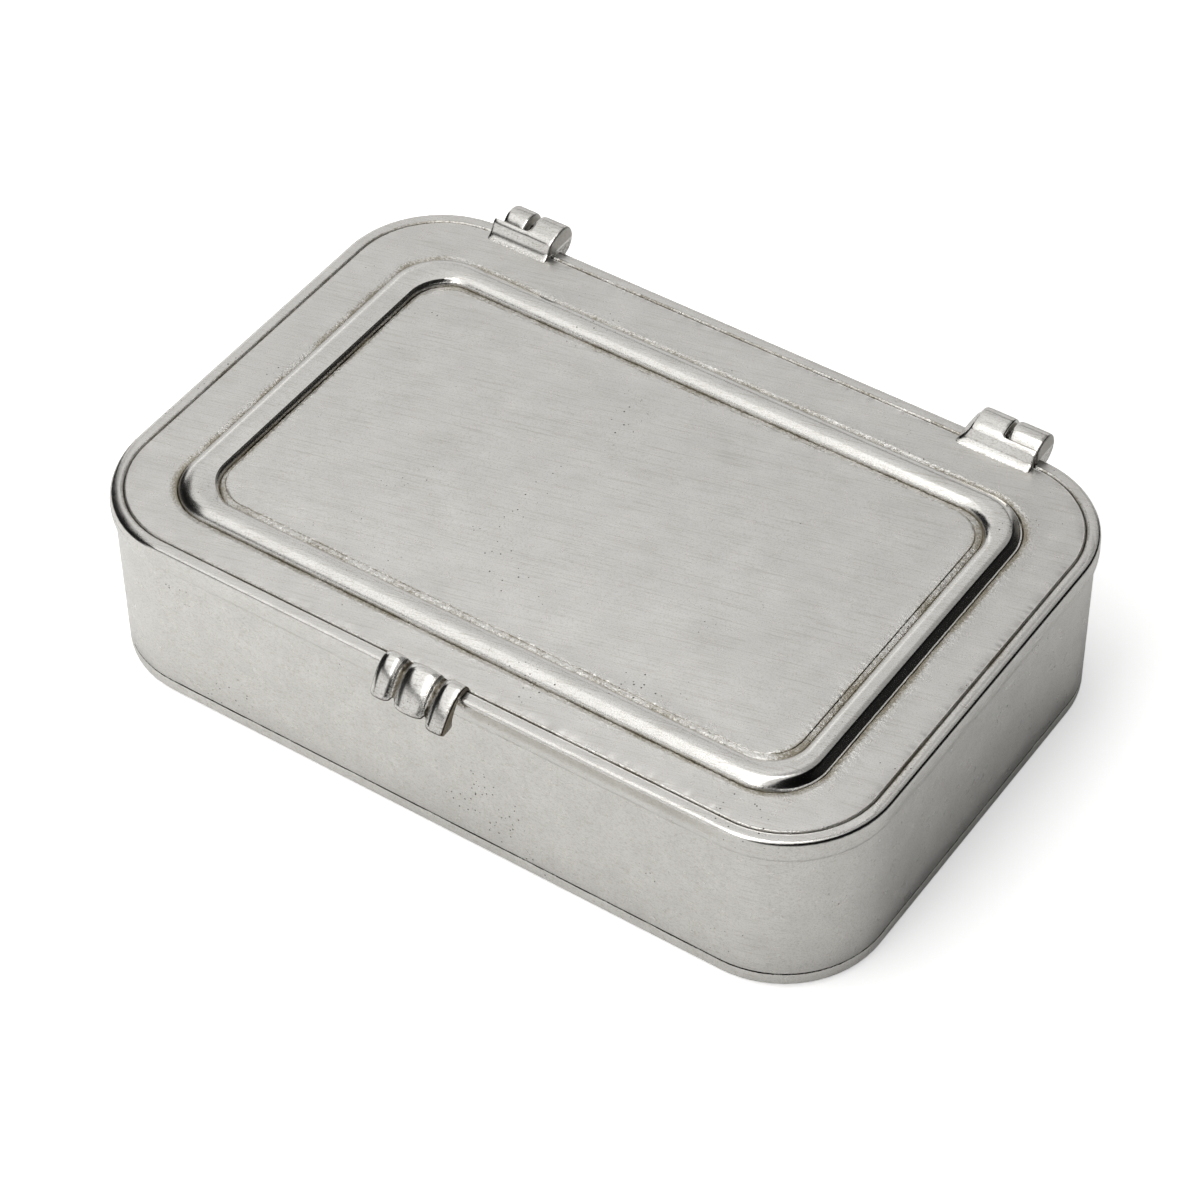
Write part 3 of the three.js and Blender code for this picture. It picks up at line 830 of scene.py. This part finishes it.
@dataclass
class LidCasting:
    """The flush lid plate with its raised bead and the rough troughs beside it."""

    edge: float = 0.3
    side_inset: float = 7.2
    back_inset: float = 7.5
    front_inset: float = 5.5
    bead_width: float = 4.4
    bead_height: float = 1.1
    bead_radius: float = 6.9
    outer_trough: float = 0.75
    inner_trough: float = 1.0
    trough_depth: float = 0.25
    grain_height: float = 0.15
    grain_size: float = 0.55
    panel_dome: float = 0.4
    front_brown_shading: float = 0.8
    cast_patina: float = 0.42
    spread: float = 0.2
    filed_flank: Point = (0.9, 2.15)
    flank_top: Point = (0.95, 0.16)
    flank_slope: float = 1.25
    full_flank: float = 1.87
    fullness: float = 0.075
    left_swell: float = 0.4
    swell_at: tuple[float, ...] = (1.0, 1.8, 2.34, 3.0)
    front_dirt: float = 0.4
    sand: float = 0.34
    sand_edge: Point = (-15.0, 5.0)
    sand_run: float = 30.0
    panel_from: float = 3.1

    def outline(self) -> Outline:
        """The lid's own outline."""
        radius = BoxCastings.corner_radius - (RIM_HIGH[0] - LID_HIGH[0])
        return Outline(LID_HIGH[0], LID_HIGH[1], radius).inset(-self.spread)

    def bead_line(self, out: float) -> Outline:
        """The bead's middle line, moved outwards by a distance."""
        half_x = LID_HIGH[0] - self.side_inset - self.bead_width / 2 + out
        half_y = LID_HIGH[1] - (self.back_inset + self.front_inset + self.bead_width) / 2 + out
        centre = (self.front_inset - self.back_inset) / 2
        return Outline(half_x, half_y, self.bead_radius + out / 2, centre)

    def panel_outline(self, share: float) -> Outline:
        """An outline inside the panel, as a share of the way from its middle to its edge."""
        edge = self.bead_line(-self.bead_width / 2 - self.inner_trough - 1.8)
        return Outline(edge.half_x * share, edge.half_y * share, edge.radius * share, edge.centre_y)

    def bead_section(self) -> list[tuple[float, float, float, float]]:
        """The section from the margin over the bead to the panel.

        Returns:
            Rows of height over the lid, distance out from the bead's middle line, patina and polish.
        """
        half, deep = self.bead_width / 2, self.trough_depth
        rows = [(0.0, half + self.outer_trough + gap, brown, 0.0) for gap, brown in (
            (2.2, 0.0), (1.5, 0.14), (0.9, 0.28), (0.4, 0.36), (0.15, 0.42), (0.04, 0.5))]
        rows += [(-deep * fall, half + self.outer_trough * share, brown, 0.0) for share, fall, brown in (
            (0.85, 0.2, 0.55), (0.6, 0.4, 0.6), (0.35, 0.55, 0.7), (0.16, 0.7, 0.8), (0.06, 1.7, 1.0),
            (-0.06, 1.7, 1.0))]
        for angle in map(math.radians, np.linspace(8, 172, 27)):
            foot = abs(math.cos(angle)) ** 14
            rows.append((self.bead_height * math.sin(angle) - deep / 2, (half - 0.1) * math.cos(angle),
                         0.45 * foot, 1.0 - foot))
        rows += [(-deep * fall, -half - self.inner_trough * share, brown, 0.0) for share, fall, brown in (
            (-0.05, 1.6, 1.0), (0.05, 1.6, 1.0), (0.14, 0.8, 0.7), (0.45, 0.6, 0.6), (0.8, 0.4, 0.55),
            (0.94, 0.5, 0.8))]
        rows += [(0.0, -half - self.inner_trough - gap, brown, 0.0) for gap, brown in (
            (0.02, 0.5), (0.25, 0.4), (0.7, 0.3), (1.2, 0.16), (1.8, 0.0))]
        return rows

    def build(self, finish: Material) -> None:
        """Build the plate from loops, from its underside over its edge and the bead to the panel."""
        low = LID_LOW[2]
        edge = arc((self.edge, TOP - self.edge), self.edge, 180, 90, 5)
        rows = [(self.outline().inset(inset), height, 9.0, brown, 0.0) for inset, height, brown in (
            *((inset, low, self.cast_patina) for inset in (16.0, 6.0, 0.3)),
            *((inset, height, 0.5 if height < TOP else 0.0) for inset, height in (
                (0.0, low + 0.3), *edge, (1.6, TOP))))]
        rows += [(self.bead_line(out), TOP + height, out, *marks)
                 for height, out, *marks in self.bead_section()]
        rows += [(self.panel_outline(share), TOP + self.panel_dome * (1 - share ** 2), -9.0, 0.0, 0.0)
                 for share in (0.9, 0.75, 0.55, 0.3)]
        stack = LoopStack("lid_casting", 100, 64, 3)
        for outline, height, *_ in rows:
            stack.add(outline, height)
        lid = stack.finish(False)
        outs, brown, polish = (np.repeat([row[column] for row in rows], stack.count) for column in (2, 3, 4))
        self.shape_bead(lid, outs)
        places = vertex_places(lid)
        facing = self.facing_right(places)
        dirt = self.creases(facing, outs, brown)
        sandy = self.sand * (outs < -self.panel_from)
        for axis in (0, 1):
            sandy = sandy * fade(places[:, axis], self.sand_edge[axis], -self.sand_run)
        # The troughs' browning is scaled by side: painted shade, darker at the right and left.
        patina = np.maximum(brown * self.side_shading(facing), sandy)
        paint(lid, patina=patina, dirt=dirt, polish=polish)
        self.roughen(lid, patina)
        smooth(lid, 50)
        adopt(lid, Body.LID, finish, "lid_plate")

    def facing_right(self, places: np.ndarray) -> np.ndarray:
        """How much the bead's outer side faces right at some points: 1 right, 0 front or back, -1 left."""
        across_x, across_y = (np.maximum(across, 0) for across in self.bead_line(0.0).beyond(places))
        return across_x * np.sign(places[:, 0]) / np.maximum(np.hypot(across_x, across_y), TINY)

    def side_shading(self, facing: np.ndarray) -> np.ndarray:
        """How brown the rough places are painted: most at the right, less at the left, least at front and
        back. The difference between the sides is painted shade, darker where the troughs face the dark room
        at the sides.
        """
        sideways = np.clip(np.maximum(facing, -0.5 * facing), 0, 1)
        return self.front_brown_shading + (1 - self.front_brown_shading) * sideways

    def creases(self, facing: np.ndarray, outs: np.ndarray, brown: np.ndarray) -> np.ndarray:
        """Where the troughs are painted black: dirt at the bead's feet, made darker at the sides than at
        front and back as painted shade, and at the right along the panel's edge a painted dark reflection.

        Args:
            facing: how much the bead faces right beside each point.
            outs: each point's distance out from the bead's middle line.
            brown: the patina at each point.

        Returns:
            The black at each point: dirt, painted shade and a painted dark reflection.
        """
        rightward = np.clip(facing, 0, 1)
        feet = fade(brown, 0.75, 0.25) * (self.front_dirt + (1 - self.front_dirt) * np.abs(facing))
        inner_foot = (outs < -2.0) & (outs > -2.5)
        # A painted dark reflection: the panel's edge at the right is painted black.
        panel_edge = (outs < -3.05) & (outs > -3.21)
        return np.where(inner_foot, feet * (1 - rightward), feet) * (1 - panel_edge) + rightward * panel_edge

    def shape_bead(self, lid: Piece, outs: np.ndarray) -> None:
        """File the bead's outer flank steep at the right, and leave its inner flank full at the left.

        Args:
            lid: the lid.
            outs: each point's distance out from the bead's middle line.
        """
        places = vertex_places(lid)
        facing = self.facing_right(places)
        crown, trough = TOP + self.bead_height, TOP - self.trough_depth
        facet = crown - self.flank_top[1] - (outs - self.flank_top[0]) * self.flank_slope
        on_flank = (outs > self.filed_flank[0]) & (outs < self.filed_flank[1])
        drop = np.minimum(np.maximum(facet, trough) - places[:, 2], 0) * on_flank
        full = crown - self.trough_depth / 2 - self.fullness * outs ** 2
        rise = np.maximum(full - places[:, 2], 0) * ((outs > -self.full_flank) & (outs < 0))
        leftward = fade(-facing, 0.1, 0.5)
        places[:, 2] += fade(facing, 0.45, 0.35) * drop
        places[:, 2] += leftward * rise
        swell = [0.0, self.left_swell, self.left_swell, 0.0]
        places[:, 0] += leftward * np.interp(-outs, self.swell_at, swell)
        move_vertices(lid, places)

    def roughen(self, lid: Piece, patina: np.ndarray) -> None:
        """Give the troughs and the sandy patch their cast grain by a displacement limited to the patina.

        Args:
            lid: the lid.
            patina: the patina, with its painted shade, at each of its points.
        """
        group = lid.vertex_groups.new(name="cast_grain")
        for level in np.unique(patina[patina > 0.1]):
            group.add(np.flatnonzero(patina == level).tolist(), float(level), "REPLACE")
        texture = bpy.data.textures.new("cast_grain", "CLOUDS")
        texture.noise_scale = self.grain_size * MM
        texture.noise_depth = 2
        apply_modifier(lid, "DISPLACE", texture=texture, texture_coords="LOCAL", direction="Z",
                       strength=self.grain_height * MM * 2, mid_level=0.5, vertex_group=group.name)
        lid.vertex_groups.clear()


@dataclass(frozen=True)
class Lobe:
    """One lobe of the thumb tab, measured from the rim's front and top."""

    width: float
    reach: float
    drop: float
    thickness: float = 1.5


@dataclass
class ThumbTab:
    """The thumb tab: three lobes that curl over the rim from a root in the lid."""

    lobes: tuple[Lobe, ...] = (Lobe(2.9, 3.1, 3.4), Lobe(4.3, 3.5, 3.3), Lobe(2.7, 4.1, 3.4, 2.3))
    groove_width: float = 1.1
    groove_depth: float = 1.0
    groove_rise: float = 0.4
    crown: float = 0.5
    end_crown: float = 0.15
    crown_power: float = 3.2
    joint_overlap: float = 0.1
    joint_depth: float = 0.6
    crest: float = 1.25
    tip: float = 0.4
    clearance: float = 0.3
    groove_patina: float = 0.75
    groove_dirt: float = 0.7
    tip_patina: float = 0.9
    tip_dirt: float = 0.95
    end_filed: float = 0.6
    steps: int = 24
    stations: int = 130

    def section(self, depth: float, reach: float, drop: float, thickness: float) -> list[Point]:
        """The side view at one place along the tab, as (y, z) in millimetres.

        Args:
            depth: how far its outer side is drawn in.
            reach: how far it stands out from the rim.
            drop: how far its tip hangs below the rim's top.
            thickness: how thick its hanging end is.

        Returns:
            A closed line of points.
        """
        rim, lid, gap = RIM_LOW[1], LID_LOW[1] - LidCasting.spread, self.clearance
        crest, nose, joint = self.crest - depth, rim - reach + depth, lid + self.joint_overlap
        heel_y = rim - reach + max(thickness, depth + 2 * self.tip)
        tip_top, root = self.tip - drop, -self.joint_depth
        lip = rim + BoxCastings.strip_width - BoxCastings.inner_edge / 2
        foot, shoulder, front = (joint, 0.02 - depth / 3), (joint - 0.3, 0.75 * crest), (nose, tip_top)
        point, heel, corner = (nose + self.tip, -drop), (heel_y, tip_top), (rim, gap)
        inside, back = (lip, gap), (lid - 0.02, root / 2)
        curves = (
            [(joint, root), (joint, root / 2), foot],
            [foot, (joint, 0.5 * crest), shoulder],
            [shoulder, (rim + 0.9, crest + 0.45), (rim - 0.3 * reach, crest), front],
            [front, (nose, -drop), point],
            [point, (heel_y, -drop), heel],
            [heel, (heel_y, tip_top / 2), (rim - gap, gap), corner],
            [corner, ((rim + lip) / 2, gap), inside],
            [inside, ((lip + lid) / 2, 0), back],
            [back, (lid - 0.02, root), (joint - 0.04, root)],
        )
        return [(y, z + TOP) for curve in curves for y, z in bezier(curve, self.steps)]

    def station(self, along: float) -> tuple[float, float, float, float, float]:
        """Depth, reach, drop, thickness and grooviness at a distance from the tab's left end."""
        left = 0.0
        for lobe, following in zip(self.lobes, (*self.lobes[1:], None)):
            if along <= left + lobe.width or following is None:
                break
            left += lobe.width
            if along < left + self.groove_width:
                share = (along - left) / self.groove_width
                ease = share * share * (3 - 2 * share)
                reach, drop, thickness = (
                    one + (two - one) * ease for one, two in (
                        (lobe.reach, following.reach), (lobe.drop, following.drop),
                        (lobe.thickness, following.thickness)))
                hollow = math.sin(math.pi * share) ** 0.6
                depth = self.crown + (self.groove_depth - self.crown) * hollow
                return depth, reach, drop - self.groove_rise * hollow, thickness, max(hollow, 0.5)
            left += self.groove_width
        across = 2 * (along - left) / lobe.width - 1
        crown = self.crown if following or across < 0 else self.end_crown
        depth = crown * abs(across) ** self.crown_power
        # Each lobe's edges are painted darker towards the grooves, and the grooves brown and black: patina
        # with painted shade.
        return depth, lobe.reach, lobe.drop, lobe.thickness, 0.9 * abs(across) ** 9

    def build(self, finish: Material) -> None:
        """Loft the tab from a grid whose rows become its side views, then close its ends."""
        low, high = (corner[0] for corner in cad_box("thumb_tab"))
        around = len(self.section(0.0, 1.0, 1.0, 1.0))
        deselect()
        bpy.ops.mesh.primitive_grid_add(x_subdivisions=self.stations, y_subdivisions=around, size=1)
        tab = bpy.context.object
        tab.name = "thumb_tab_casting"
        grid = vertex_places(tab) * MM + 0.5
        columns = np.rint(grid[:, 0] * self.stations).astype(int)
        rows = np.rint(grid[:, 1] * around).astype(int) % around
        offsets = [(high - low) * column / self.stations for column in range(self.stations + 1)]
        stations = [self.station(along) for along in offsets]
        table = np.array([[(low + along, y, z) for y, z in self.section(*shape)]
                          for along, (*shape, _) in zip(offsets, stations)])
        move_vertices(tab, table[columns, rows])
        face_out(tab)
        self.close_ends(tab, (low, high))
        face_out(tab)
        places = vertex_places(tab)
        nearest = np.clip(np.rint((places[:, 0] - low) / (high - low) * self.stations), 0, self.stations)
        drops, groove = np.array(stations)[nearest.astype(int)].T[[2, 4]]
        end = places[:, 0] > high - 0.02
        # The lowest half millimetre of each lobe, next to the wall, is painted brown and black: painted
        # contact shade with some patina; not on the filed end face.
        shaded_tip = fade(places[:, 2] - TOP + drops, 0.5, -0.2) * (1 - end)
        brown = np.maximum(self.groove_patina * groove, self.tip_patina * shaded_tip)
        paint(tab, patina=brown * (1 - 0.7 * end),
              dirt=np.maximum(self.groove_dirt * groove, self.tip_dirt * shaded_tip) * (1 - end),
              polish=fade(groove, 0.625, -0.625) * (1 - shaded_tip) * (1 - end), filed=self.end_filed * end)
        smooth(tab, 42)
        adopt(tab, Body.LID, finish, "thumb_tab")

    def close_ends(self, tab: Piece, ends: tuple[float, float]) -> None:
        """Fill the open loop at each end, given by its x."""
        mesh = bmesh.new()
        mesh.from_mesh(tab.data)
        for x in ends:
            loop = [edge for edge in mesh.edges if edge.is_boundary
                    and all(abs(vertex.co.x / MM - x) < 0.01 for vertex in edge.verts)]
            bmesh.ops.contextual_create(mesh, geom=loop)
        bmesh.ops.triangulate(mesh, faces=[f for f in mesh.faces if len(f.verts) > 4])
        mesh.to_mesh(tab.data)
        mesh.free()


@dataclass
class Hinge:
    """One hinge: the lid's lug with its knuckle, and the box's knuckle on the rim."""

    side: int
    radius: float = 2.65
    run_gap: float = 0.35
    ridge_wall: float = 0.4
    foot_run: float = 1.0
    foot_rise: float = 0.4
    foot_sink: Point = (1.1, 0.4)
    fit: float = 0.12
    shoulder_angle: float = 156.0
    ridge_angle: float = 136.0
    crest_angle: float = 114.0
    crest_lift: float = 0.15
    shoulder_lean: Point = (0.25, 0.65)
    bore: float = 0.78
    end_wall: float = 0.9
    axis_behind_rim: float = 0.9
    axis_above_rim: float = 0.4
    reach: float = 1.4
    voxel: float = 0.14
    wear: int = 70
    flare: float = 0.0
    flare_run: float = 2.2
    flare_height: float = 3.0
    split_extra: float = 0.0
    short_end: float = 0.0
    foot_patina: float = 0.45
    foot_dirt: float = 0.4
    sawn_patina: float = 0.3

    def axis(self) -> Point:
        """The hinge axis as (y, z) in millimetres."""
        return RIM_HIGH[1] + self.axis_behind_rim, TOP + self.axis_above_rim

    def on_circle(self, radius: float, degrees: float) -> Point:
        """A point round the axis, as (y, z)."""
        return arc(self.axis(), radius, degrees, degrees, 1)[0]

    def ring(self, radius: float, steps: int) -> list[Point]:
        """A full circle round the axis."""
        return arc(self.axis(), radius, 0, 360, steps)[:-1]

    def rise(self) -> tuple[list[Point], Point]:
        """The front of the lug from its foot on the lid up to its shoulder, and the shoulder itself."""
        foot = (LID_HIGH[1] - self.reach, TOP)
        shoulder = self.on_circle(self.radius + self.run_gap + self.ridge_wall, self.shoulder_angle)
        return bezier([foot, (foot[0] + self.foot_run, TOP + self.foot_rise), shoulder], 10), shoulder

    def ramp(self) -> list[Point]:
        """The front of the lug, from its foot on the lid to its ridge."""
        rise, shoulder = self.rise()
        clearing = self.radius + self.run_gap
        bend = self.on_circle(clearing + self.ridge_wall, (self.shoulder_angle + self.ridge_angle) / 2)
        ridge = self.on_circle(clearing, self.ridge_angle)
        return [*rise, *bezier([shoulder, bend, ridge], 8), ridge]

    def neck(self) -> list[Point]:
        """The front of the lug where it runs on into the knuckle, from its foot to the knuckle's crest."""
        rise, shoulder = self.rise()
        crest = self.on_circle(self.radius, self.crest_angle)
        lean = math.radians(self.crest_angle - 90)
        before = (crest[0] - math.cos(lean), crest[1] - math.sin(lean) + self.crest_lift)
        after = (shoulder[0] + self.shoulder_lean[0], shoulder[1] + self.shoulder_lean[1])
        return [*rise, *bezier([shoulder, after, before, crest], 12), crest]

    def span(self, node: str) -> Point:
        """The x of a CAD node's end nearer the box's middle, and of its far one."""
        low, high = cad_box(f"{node}_{SIDE_NAMES[self.side]}")
        return (low[0], high[0]) if self.side > 0 else (high[0], low[0])

    def soften(self, piece: Piece) -> None:
        """Turn a joined piece into one skin with worn edges."""
        activate(piece)
        piece.data.remesh_voxel_size = self.voxel * MM
        bpy.ops.object.voxel_remesh()
        apply_modifier(piece, "SMOOTH", factor=0.5, iterations=self.wear)

    def lug(self) -> Piece:
        """Build the lug: a ramp over the hinge's width, a neck and a knuckle over its inner part."""
        inner, outer = self.span("lid_hinge_lug")
        mirrored = inner + outer - self.span("body_hinge_knuckle")[0]
        split = mirrored - self.side * (self.split_extra - self.fit)
        clearing, (y, _) = self.radius + self.run_gap, self.axis()
        end = 180 + math.degrees(math.asin(self.axis_above_rim / clearing))
        hollow = arc(self.axis(), clearing, self.ridge_angle, end, 12)[1:]
        depth = TOP - self.foot_sink[1]
        section = [(LID_HIGH[1] - self.reach - self.foot_sink[0], depth), *self.ramp(), *hollow,
                   (LID_HIGH[1] - 0.1, depth)]
        lug = profile_bar(f"lid_lug_{SIDE_NAMES[self.side]}", section, inner, outer)
        combine(lug, profile_bar("neck", [*self.neck(), self.axis(), (y, TOP)], inner, split), "UNION")
        combine(lug, profile_bar("barrel", self.ring(self.radius, 96), inner, split), "UNION")
        start = inner + self.side * self.end_wall
        combine(lug, profile_bar("bore", self.ring(self.bore, 32), start, split + self.side), "DIFFERENCE")
        self.soften(lug)
        if self.flare:
            places = vertex_places(lug)
            near = fade(np.abs(places[:, 0] - inner), self.flare_run, -self.flare_run)
            height = fade(places[:, 2], TOP, self.flare_height)
            places[:, 0] -= self.side * self.flare * near ** 2 * (1 - height) ** 2
            move_vertices(lug, places)
        return lug

    def knuckle(self) -> Piece:
        """Build the box's knuckle with the foot that stands in the rim's notch."""
        split, outer = self.span("body_hinge_knuckle")
        split -= self.side * self.fit
        outer -= self.side * self.short_end
        name = SIDE_NAMES[self.side]
        knuckle = profile_bar(f"box_knuckle_{name}", self.ring(self.radius, 96), split, outer)
        front = self.axis()[0] - math.sqrt(self.radius ** 2 - self.axis_above_rim ** 2)
        floor = cad_box(f"body_hinge_knuckle_{name}")[0][2]
        foot = block((min(split, outer), front, floor), (max(split, outer), RIM_HIGH[1], self.axis()[1]))
        combine(knuckle, foot, "UNION")
        end = outer - self.side * self.end_wall
        combine(knuckle, profile_bar("bore", self.ring(self.bore, 32), split - self.side, end), "DIFFERENCE")
        self.soften(knuckle)
        return knuckle

    def build(self, finish: Material) -> None:
        """Build and dress both pieces."""
        for piece, body, node in ((self.lug(), Body.LID, "lid_hinge_lug"),
                                  (self.knuckle(), Body.BOX, "body_hinge_knuckle")):
            x, _, z = vertex_places(piece).T
            # Each piece is painted browner and darker along its foot, up to 0.3 mm over the rim's top.
            foot = fade(z - TOP, 0.3, -0.3)
            sawn = fade(np.minimum(x - x.min(), x.max() - x), 0.25, -0.25)
            paint(piece, patina=np.maximum(self.foot_patina * foot, self.sawn_patina * sawn),
                  polish=(1 - foot) * (1 - sawn), filed=sawn * (z > TOP + 0.4), dirt=self.foot_dirt * foot)
            smooth(piece, 60)
            adopt(piece, body, finish, f"{node}_{SIDE_NAMES[self.side]}")


@dataclass
class HingePin:
    """One hinge pin: a short wire with its ends rounded off, hidden in both knuckles."""

    side: int
    end_round: float = 0.15

    def build(self, finish: Material) -> None:
        """Build and dress the pin."""
        node = f"hinge_pin_{SIDE_NAMES[self.side]}"
        low, high = cad_box(node)
        deselect()
        bpy.ops.mesh.primitive_cylinder_add(
            vertices=48, radius=(high[2] - low[2]) / 2 * MM, depth=(high[0] - low[0]) * MM,
            location=Vector((low + high) / 2 * MM), rotation=(0, math.radians(90), 0))
        pin = bpy.context.object
        pin.name = f"pin_wire_{SIDE_NAMES[self.side]}"
        bake_place(pin)
        apply_modifier(pin, "BEVEL", width=self.end_round * MM, segments=4, limit_method="ANGLE")
        face_out(pin)
        smooth(pin)
        adopt(pin, Body.BOX, finish, node)


@dataclass(frozen=True)
class Softbox:
    """One lit panel over the table: its edges in metres, how bright it is, and whether metal mirrors it."""

    name: str
    left: float
    right: float
    front: float
    back: float
    level: float
    mirrored: bool = True


@dataclass
class Studio:
    """The camera, the floor and the light tent."""

    azimuth: float = 34.531
    elevation: float = 45.0828
    roll: float = -0.6345
    place_mm: tuple[float, float, float] = (213.47, -310.88, 387.91)
    lens_mm: float = 117.45
    sensor_mm: float = 36.0
    floor_size: float = 4.0
    floor_lift: float = 0.56
    front_level: float = 0.92
    back_level: float = 0.78
    room_level: float = 0.02
    top_height: float = 0.4
    softboxes: tuple[Softbox, ...] = (
        Softbox("back_softbox", -0.9, -0.05, 0.25, 0.65, 0.74),
        Softbox("middle_softbox", -0.4, -0.05, 0.08, 0.25, 0.9),
        Softbox("right_softbox", -0.05, 0.2, 0.08, 0.65, 0.38),
        Softbox("table_fill", -0.5, -0.3, -0.65, 0.08, 3.8, mirrored=False),
        Softbox("front_middle_softbox", -0.3, -0.08, -0.65, 0.08, 1.2),
        Softbox("front_softbox", -0.08, 0.06, -0.65, 0.08, 3.6),
        Softbox("front_right_softbox", 0.06, 0.2, -0.65, 0.08, 0.8))

    def camera(self) -> None:
        """Set the camera at the photograph's viewing angle."""
        azimuth, elevation, roll = (math.radians(a) for a in (self.azimuth, self.elevation, self.roll))
        back = Vector((math.sin(azimuth) * math.cos(elevation), -math.cos(azimuth) * math.cos(elevation),
                       math.sin(elevation)))
        level = Vector((0, 0, 1)).cross(back).normalized()
        rise = back.cross(level)
        right = math.cos(roll) * level + math.sin(roll) * rise
        up = math.cos(roll) * rise - math.sin(roll) * level
        data = bpy.data.cameras.new("camera")
        data.sensor_width = self.sensor_mm
        data.lens = self.lens_mm
        data.clip_start = 0.01
        camera = bpy.data.objects.new("camera", data)
        bpy.context.collection.objects.link(camera)
        turn = Matrix((right, up, back)).transposed().to_4x4()
        camera.matrix_world = Matrix.Translation(Vector(self.place_mm) * MM) @ turn
        bpy.context.scene.camera = camera

    def floor(self) -> None:
        """Lay the table top: matt white paper that the camera alone sees lifted towards pure white."""
        deselect()
        bpy.ops.mesh.primitive_plane_add(size=self.floor_size)
        floor = bpy.context.object
        floor.name = "table_top"
        made = bpy.data.materials.new("matt_white_table_paper")
        graph = Graph(made)
        paper = graph.add("BsdfDiffuse", inputs={"Color": linear("efefee")})
        lift = graph.math("MULTIPLY", graph.add("LightPath").outputs["Is Camera Ray"], self.floor_lift)
        white = graph.add("Emission", inputs={"Color": linear("ffffff"), "Strength": lift})
        both = graph.add("AddShader", inputs={0: paper.outputs[0], 1: white.outputs[0]})
        graph.add("OutputMaterial", inputs={"Surface": both.outputs[0]})
        floor.data.materials.append(made)

    def tent(self) -> None:
        """Light the world as a low white tent, open to a dark room above it and at both sides.

        Towards the back the left opening starts further left.
        """
        world = bpy.data.worlds.new("light_tent")
        bpy.context.scene.world = world
        graph = Graph(world)
        x, y, z = graph.add("SeparateXYZ", inputs={0: graph.add("TexCoord").outputs["Generated"]}).outputs
        room = self.room_level
        leftward = graph.math("MULTIPLY_ADD", graph.math("MAXIMUM", y, 0.0), 0.5, x)
        level = graph.ramp(y, -1.0, 1.0, self.front_level, self.back_level)
        for cut in (graph.ramp(x, -0.05, 0.15, 1.0, room, soft=True),
                    graph.ramp(z, 0.33, 0.5, 1.0, room, soft=True),
                    graph.ramp(leftward, -0.7, -0.6, room, soft=True)):
            level = graph.math("MULTIPLY", level, cut)
        lit, white = (graph.add("Background", inputs={"Color": linear("ffffff"), "Strength": strength})
                      for strength in (level, 1.0))
        seen = graph.add("LightPath").outputs["Is Camera Ray"]
        mixed = graph.add("MixShader", inputs={0: seen, 1: lit.outputs[0], 2: white.outputs[0]})
        graph.add("OutputWorld", inputs={"Surface": mixed.outputs[0]})

    def lamps(self) -> None:
        """Hang the softboxes in one level sheet over the table."""
        for box in self.softboxes:
            data = bpy.data.lights.new(box.name, "AREA")
            data.shape = "RECTANGLE"
            data.size, data.size_y = box.right - box.left, box.back - box.front
            data.energy = box.level * math.pi * data.size * data.size_y
            lamp = bpy.data.objects.new(box.name, data)
            bpy.context.collection.objects.link(lamp)
            lamp.location = ((box.left + box.right) / 2, (box.front + box.back) / 2, self.top_height)
            lamp.visible_camera = False
            lamp.visible_glossy = box.mirrored

    def build(self) -> None:
        """Set up the whole studio."""
        self.camera()
        self.floor()
        self.tent()
        self.lamps()
        bpy.context.scene.view_settings.view_transform = "Standard"


def main() -> None:
    """Build every piece, dress it and set up the studio."""
    logging.basicConfig(level=logging.INFO)
    satin, bright = SATIN.material(), BRIGHT.material()
    BoxCastings().build(satin)
    LidCasting().build(satin)
    ThumbTab().build(bright)
    Hinge(-1, split_extra=0.5, short_end=1.2).build(bright)
    Hinge(1, flare=1.6).build(bright)
    wire = Wire().material()
    for side in SIDE_NAMES:
        HingePin(side).build(wire)
    Studio().build()


if __name__ == "__main__":
    main()
